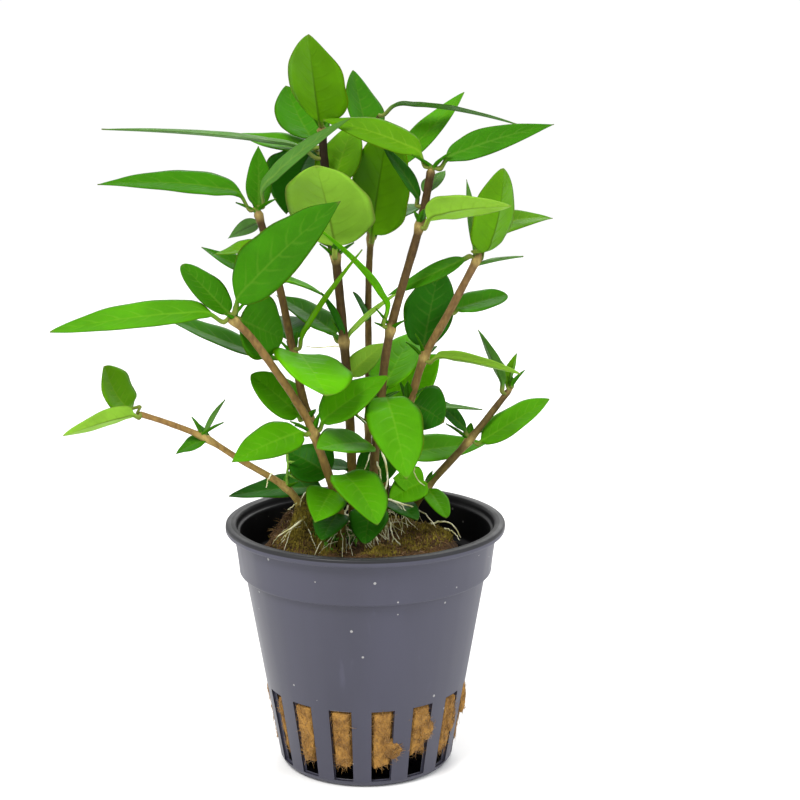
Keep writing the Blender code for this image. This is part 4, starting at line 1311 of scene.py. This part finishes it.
def leaf_half_width(t, width, bluntness):
    """Half the width in mm at shares t of the length: a slim stalk, then the blade."""
    u = np.clip((t - PETIOLE_SHARE) / (1 - PETIOLE_SHARE), 0, 1)
    rise, fall = 0.6 - 0.2 * bluntness, 1.15 - 0.6 * bluntness
    peak = rise / (rise + fall)
    blade = width / 2 * (u / peak) ** rise * ((1 - u) / (1 - peak)) ** fall
    stalk = PETIOLE_WIDTH / 2 * (1 - ease(t, 0.5, 1.0)) + 0.05
    return np.maximum(blade, np.where(t < 0.6, stalk, 0.07))


def bow(t):
    """How far the midrib has risen off its chord at a share t of the length."""
    return 2.31 * t ** 0.4 * (1 - t)


def leaf_rows(start, rows):
    """Shares of the length for all rows: a foot hidden in the stem, the stalk and the blade."""
    shares = np.linspace(0, 1, rows - FOOT_ROWS - STALK_ROWS)
    shares = 0.45 * shares + 0.55 * (0.5 - 0.5 * np.cos(np.pi * shares))
    return np.concatenate([
        np.linspace(start, 0, FOOT_ROWS, endpoint=False),
        np.linspace(0, PETIOLE_SHARE, STALK_ROWS, endpoint=False),
        PETIOLE_SHARE + (1 - PETIOLE_SHARE) * shares,
    ])


def leaf_columns(half):
    """Distances in mm from the midrib for all columns, closer together beside it."""
    inner = np.minimum(np.array([[0.2, 0.46]]), half[:, None] * np.array([[0.25, 0.5]]))
    outer = inner[:, 1:] + (half[:, None] - inner[:, 1:]) * np.linspace(0.2, 1, 5)[None]
    side = np.hstack([inner, outer])
    return np.hstack([-side[:, ::-1], np.zeros((len(half), 1)), side])


def shell_faces(count, wide):
    """Faces of a sheet's upper side, then of its underside, which shares the margins, and of
    its two ends."""
    faces = grid_faces(count, wide, flip=True)

    def under(i, j):
        if j in (0, wide - 1):
            return i * wide + j
        return count * wide + i * (wide - 2) + j - 1

    for i in range(count - 1):
        for j in range(wide - 1):
            faces.append([under(i, j), under(i, j + 1), under(i + 1, j + 1), under(i + 1, j)])
    for i, way in ((0, 1), (count - 1, -1)):
        ring = [i * wide + j for j in range(wide)]
        ring += [under(i, j) for j in range(wide - 2, 0, -1)]
        faces.append(ring[::way])
    return faces


def leaf_sheet(growth, leaf, fused, rows, settings, finish, dice):
    """Adds one leaf: two faces with a midrib, swollen between the veins, and a waved margin."""
    _, _, _, _, _, length, width, _, arch, bluntness = leaf
    foot, along, across, up, above, axis, outward, radius = leaf_frame(leaf, fused)
    stations = np.concatenate([[0.0], np.linspace(PETIOLE_SHARE, 1, 6)])
    inside = axis + outward * 0.15 * radius
    start = -max(np.linalg.norm(foot - inside), 0.3) / length
    places = [inside] + [foot + along * length * t + above * arch * bow(t) for t in stations]
    t = leaf_rows(start, rows)
    centre = smooth_through(np.concatenate([[start], stations]), places, t)
    ahead = unit(np.gradient(centre, axis=0))
    rising = unit(up - ahead * (ahead @ up)[:, None])
    half = leaf_half_width(np.clip(t, 0, 1), width, bluntness)
    x = leaf_columns(half)
    u = x / half[:, None]
    away = abs(u)
    blade = ease(t, PETIOLE_SHARE * 0.8, PETIOLE_SHARE * 2.0)[:, None]
    waves = max(2.0, length / 8)
    calm = min(1.0, 2.4 * width / length)
    phase = np.where(u < 0, dice.uniform(0, math.tau), dice.uniform(0, math.tau))
    slow = np.sin(math.tau * waves * 0.5 * t[:, None] + phase)
    quick = np.sin(math.tau * waves * t[:, None] + 1.7 * phase)
    x = x * (1 + blade * away * calm * (0.03 * slow + 0.015 * quick))
    run = t[:, None] - VEIN_SWEEP * away ** 1.5 + np.where(u > 0, 0.05, 0.0)
    tissue = np.cos(math.tau * VEIN_PAIRS * run) * (1 - away ** 4) * ease(away, 0.02, 0.25)
    fold = LEAF_FOLD * (np.sqrt(away ** 2 + 0.04) - 0.2) / 0.82
    lift = half[:, None] * blade * (
        fold + settings.quilting * tissue
        + settings.wave * calm * away ** 2.5 * (0.65 * slow + 0.5 * quick) - 0.05 * away ** 5
    )
    round_stalk = (1 - blade) * 0.4 * np.sqrt(np.clip(1 - away ** 2, 0, 1))
    thick = round_stalk + blade * (0.15 - 0.07 * away)
    groove = blade * 0.07 * np.exp(-(x / 0.28) ** 2)
    taper = (1 - np.clip(t, 0, 1))[:, None] ** 0.8
    rib = blade * (0.3 * taper + 0.04) * np.exp(-(x / 0.36) ** 2)
    sheet = centre[:, None, :] + across * x[:, :, None]
    face = sheet + rising[:, None, :] * (lift + thick - groove)[:, :, None]
    edge = sheet + rising[:, None, :] * lift[:, :, None]
    face[:, 0], face[:, -1] = edge[:, 0], edge[:, -1]
    back = (sheet + rising[:, None, :] * (lift - thick - rib)[:, :, None])[:, 1:-1]
    count, wide = len(t), x.shape[1]
    marks = np.stack([u, np.broadcast_to(np.clip(t, 0, 1)[:, None], u.shape),
                      np.broadcast_to(half[:, None], u.shape)], axis=2)
    points = np.vstack([face.reshape(-1, 3), back.reshape(-1, 3)])
    marks = np.vstack([marks.reshape(-1, 3), marks[:, 1:-1].reshape(-1, 3)])
    faces = shell_faces(count, wide)
    above_count = (count - 1) * (wide - 1)
    finishes = [finish] * above_count + [finish + 1] * (len(faces) - above_count)
    growth.add(points, faces, finishes, marks=marks)


def tone_of(name):
    """The tone of the leaf with this name."""
    return next((tone for tone, names in TONES.items() if name in names), "fresh")


def leaf_materials(settings, tone):
    """The materials of a tone's upper side and underside, made once."""
    pair = []
    for side, under in (("face", False), ("back", True)):
        name = f"{tone} leaf {side}"
        made = bpy.data.materials.get(name)
        if not made:
            green = shade(getattr(settings, tone), 1.1 if under else 1.0)
            made = leaf_finish(name, green, under)
        pair.append(made)
    return pair


def stem_tube(growth, name, finish):
    """Adds a ridged tube that swells at its joints and takes its tint from foot to top."""
    points, radii, share, joints = stem_line(name, STEM_SMOOTH_POINTS)
    foot, middle, top = (np.array(tint) for tint in STEM_TINTS[name])
    low = ease(share, 0.0, 0.5)[:, None]
    high = ease(share, 0.5, 1.0)[:, None]
    tints = foot * (1 - low) + middle * low
    tints = tints * (1 - high) + top * high
    turns = np.arange(STEM_SIDES) * math.tau / STEM_SIDES
    swell = np.zeros(len(points))
    for joint in joints:
        swell = np.maximum(swell, np.exp(-((points[:, 2] - joint) / 0.85) ** 2))
    joint_share = (swell * 0.75)[:, None]
    tints = tints * (1 - joint_share) + np.array(JOINT_TINT) * joint_share
    radii = radii * (1 + 0.38 * swell)
    radii[-1] *= 0.45
    ahead = unit(np.gradient(points, axis=0))
    side = unit(np.cross(ahead, np.array((0.3, 1.0, 0.15))))
    other = np.cross(ahead, side)
    ridge = 1 + 0.035 * np.cos(4 * turns) + 0.012 * np.cos(9 * turns)
    length = np.concatenate([[0], np.cumsum(np.linalg.norm(np.diff(points, axis=0), axis=1))])
    uneven = 1 + 0.03 * np.sin(length * 0.9)[:, None] + 0.02 * np.sin(length * 2.3)[:, None]
    reach = radii[:, None] * ridge[None] * uneven
    ring = points[:, None, :] + reach[:, :, None] * (
        np.cos(turns)[None, :, None] * side[:, None, :]
        + np.sin(turns)[None, :, None] * other[:, None, :])
    growth.add(ring.reshape(-1, 3), tube_faces(len(points), STEM_SIDES), finish,
               tints=np.repeat(tints, STEM_SIDES, axis=0))


def joint_buds(name, dice):
    """Small folded leaves that break from each joint of a stem."""
    buds = []
    for joint in STEM_ROUTES[name][3]:
        for k in range(3):
            heading = dice.uniform(0, 360)
            buds.append((f"bud_{k}", name, joint + dice.uniform(-0.4, 0.5), heading,
                         dice.uniform(25, 70), dice.uniform(3.0, 5.5), dice.uniform(1.0, 1.9),
                         0, 0.3, 0.2))
    return buds


class STAUROGYNE_OT_stems(bpy.types.Operator):
    """Grow the eight stems with their joints and small leaves"""

    bl_idname = "staurogyne.stems"
    bl_label = "Stems"

    def execute(self, context):
        settings = context.scene.staurogyne_plant
        skin = stem_finish()
        for number, name in enumerate(STEM_ROUTES):
            dice = np.random.RandomState(100 + number)
            small = [leaf for leaf in SMALL_LEAVES if leaf[1] == name]
            materials, places = [skin], {}
            stem = Growth()
            stem_tube(stem, name, 0)
            for leaf in small + joint_buds(name, dice):
                tone = tone_of(leaf[0])
                if tone not in places:
                    places[tone] = len(materials)
                    materials += leaf_materials(settings, tone)
                bud = leaf[0].startswith("bud_") and leaf[5] < BUD_LENGTH
                rows = BUD_ROWS if bud else SMALL_LEAF_ROWS
                leaf_sheet(stem, leaf, True, rows, settings, places[tone], dice)
            add_piece(f"{name}_stem", stem.mesh(f"{name}_stem", materials),
                      [f"stem_{name}"])
        return {"FINISHED"}


class STAUROGYNE_OT_leaves(bpy.types.Operator):
    """Grow the fifty leaves, each on its stalk"""

    bl_idname = "staurogyne.leaves"
    bl_label = "Leaves"

    def execute(self, context):
        settings = context.scene.staurogyne_plant
        for number, leaf in enumerate(LEAVES):
            dice = np.random.RandomState(300 + number)
            blade = Growth()
            leaf_sheet(blade, leaf, False, LEAF_ROWS, settings, 0, dice)
            name = leaf[0]
            mesh = blade.mesh(f"{name}_leaf", leaf_materials(settings, tone_of(name)))
            add_piece(f"{name}_leaf", mesh, [f"leaf_{name}"])
        return {"FINISHED"}


# Stage

FLOOR_REACH = 0.8
FLOOR_LEVEL = -0.00005
SKY_STRENGTH = 1.02
# The camera, fitted to the photograph: millimetres and degrees down
CAMERA_X = 6.8
CAMERA_HEIGHT = 143
CAMERA_PITCH = 11.8


def area_light(name, place, target, size, power, colour):
    """Hangs a round light at a place, turned to its target. Metres and watts."""
    light = bpy.data.lights.new(name, "AREA")
    light.shape = "DISK"
    light.size = size
    light.energy = power
    light.color = colour
    lamp = bpy.data.objects.new(name, light)
    lamp.location = place
    lamp.rotation_euler = (Vector(target) - Vector(place)).to_track_quat("-Z", "Y").to_euler()
    bpy.context.scene.collection.objects.link(lamp)


class STAUROGYNE_OT_stage(bpy.types.Operator):
    """Lay a pale floor and set the soft lights and the camera"""

    bl_idname = "staurogyne.stage"
    bl_label = "Stage"

    def execute(self, context):
        settings = context.scene.staurogyne_stage
        scene = context.scene
        paper = Finish("pale floor")
        cloud = paper.clouds(14, 3, 0.3, 0.7)
        tone = paper.mix(cloud, shade(settings.floor, 0.97), tuple(settings.floor))
        mesh = bpy.data.meshes.new("floor")
        corners = ((-1, -1), (1, -1), (1, 1), (-1, 1))
        mesh.from_pydata([(x * FLOOR_REACH, y * FLOOR_REACH, FLOOR_LEVEL) for x, y in corners],
                         [], [(0, 1, 2, 3)])
        mesh.materials.append(paper.done(tone, paper.spread(cloud, 0.0, 1.0, 0.55, 0.7)))
        floor = bpy.data.objects.new("floor", mesh)
        scene.collection.objects.link(floor)

        world = bpy.data.worlds.new("soft studio")
        world.use_nodes = True
        sky = world.node_tree.nodes["Background"]
        sky.inputs["Color"].default_value = (1.0, 1.0, 1.0, 1)
        sky.inputs["Strength"].default_value = SKY_STRENGTH
        scene.world = world
        area_light("key", (-0.35, -0.5, 0.75), (0, 0, 0.07), 0.35, 7.0, (1.0, 0.98, 0.95))
        area_light("fill", (0.6, -0.35, 0.45), (0, 0, 0.06), 0.5, 2.2, (0.96, 0.98, 1.0))
        area_light("back", (0.1, 0.6, 0.6), (0, 0, 0.09), 0.5, 3.0, (1.0, 1.0, 0.98))
        scene.view_settings.view_transform = "Standard"

        camera = bpy.data.cameras.new("camera")
        camera.lens = settings.lens
        camera.clip_start = 0.01
        eye = bpy.data.objects.new("camera", camera)
        eye.location = (CAMERA_X * MM, -settings.distance, CAMERA_HEIGHT * MM)
        eye.rotation_mode = "XYZ"
        eye.rotation_euler = (math.radians(90 - CAMERA_PITCH), 0, 0)
        scene.collection.objects.link(eye)
        scene.camera = eye
        return {"FINISHED"}


class STAUROGYNE_PT_panel(bpy.types.Panel):
    """Lists the steps in the order that they are made"""

    bl_idname = "STAUROGYNE_PT_panel"
    bl_label = "Staurogyne"
    bl_space_type = "VIEW_3D"
    bl_region_type = "UI"
    bl_category = "Staurogyne"

    def draw(self, context):
        for group in (context.scene.staurogyne_pot, context.scene.staurogyne_plug,
                      context.scene.staurogyne_plant, context.scene.staurogyne_stage):
            box = self.layout.box()
            for setting in group.bl_rna.properties:
                if setting.identifier not in ("rna_type", "name"):
                    box.prop(group, setting.identifier)
        for step in STEPS:
            self.layout.operator(step.bl_idname)


STEPS = (STAUROGYNE_OT_pot, STAUROGYNE_OT_plug, STAUROGYNE_OT_moss, STAUROGYNE_OT_roots,
         STAUROGYNE_OT_stems, STAUROGYNE_OT_leaves, STAUROGYNE_OT_stage)
SETTINGS = {
    "staurogyne_pot": PotSettings,
    "staurogyne_plug": PlugSettings,
    "staurogyne_plant": PlantSettings,
    "staurogyne_stage": StageSettings,
}


def register():
    for group in (*SETTINGS.values(), *STEPS, STAUROGYNE_PT_panel):
        bpy.utils.register_class(group)
    for name, group in SETTINGS.items():
        setattr(bpy.types.Scene, name, PointerProperty(type=group))


def unregister():
    for name in SETTINGS:
        delattr(bpy.types.Scene, name)
    for group in (STAUROGYNE_PT_panel, *reversed(STEPS), *SETTINGS.values()):
        bpy.utils.unregister_class(group)


def main():
    register()
    bpy.ops.staurogyne.pot()
    bpy.ops.staurogyne.plug()
    bpy.ops.staurogyne.moss()
    bpy.ops.staurogyne.roots()
    bpy.ops.staurogyne.stems()
    bpy.ops.staurogyne.leaves()
    bpy.ops.staurogyne.stage()


if __name__ == "__main__":
    main()
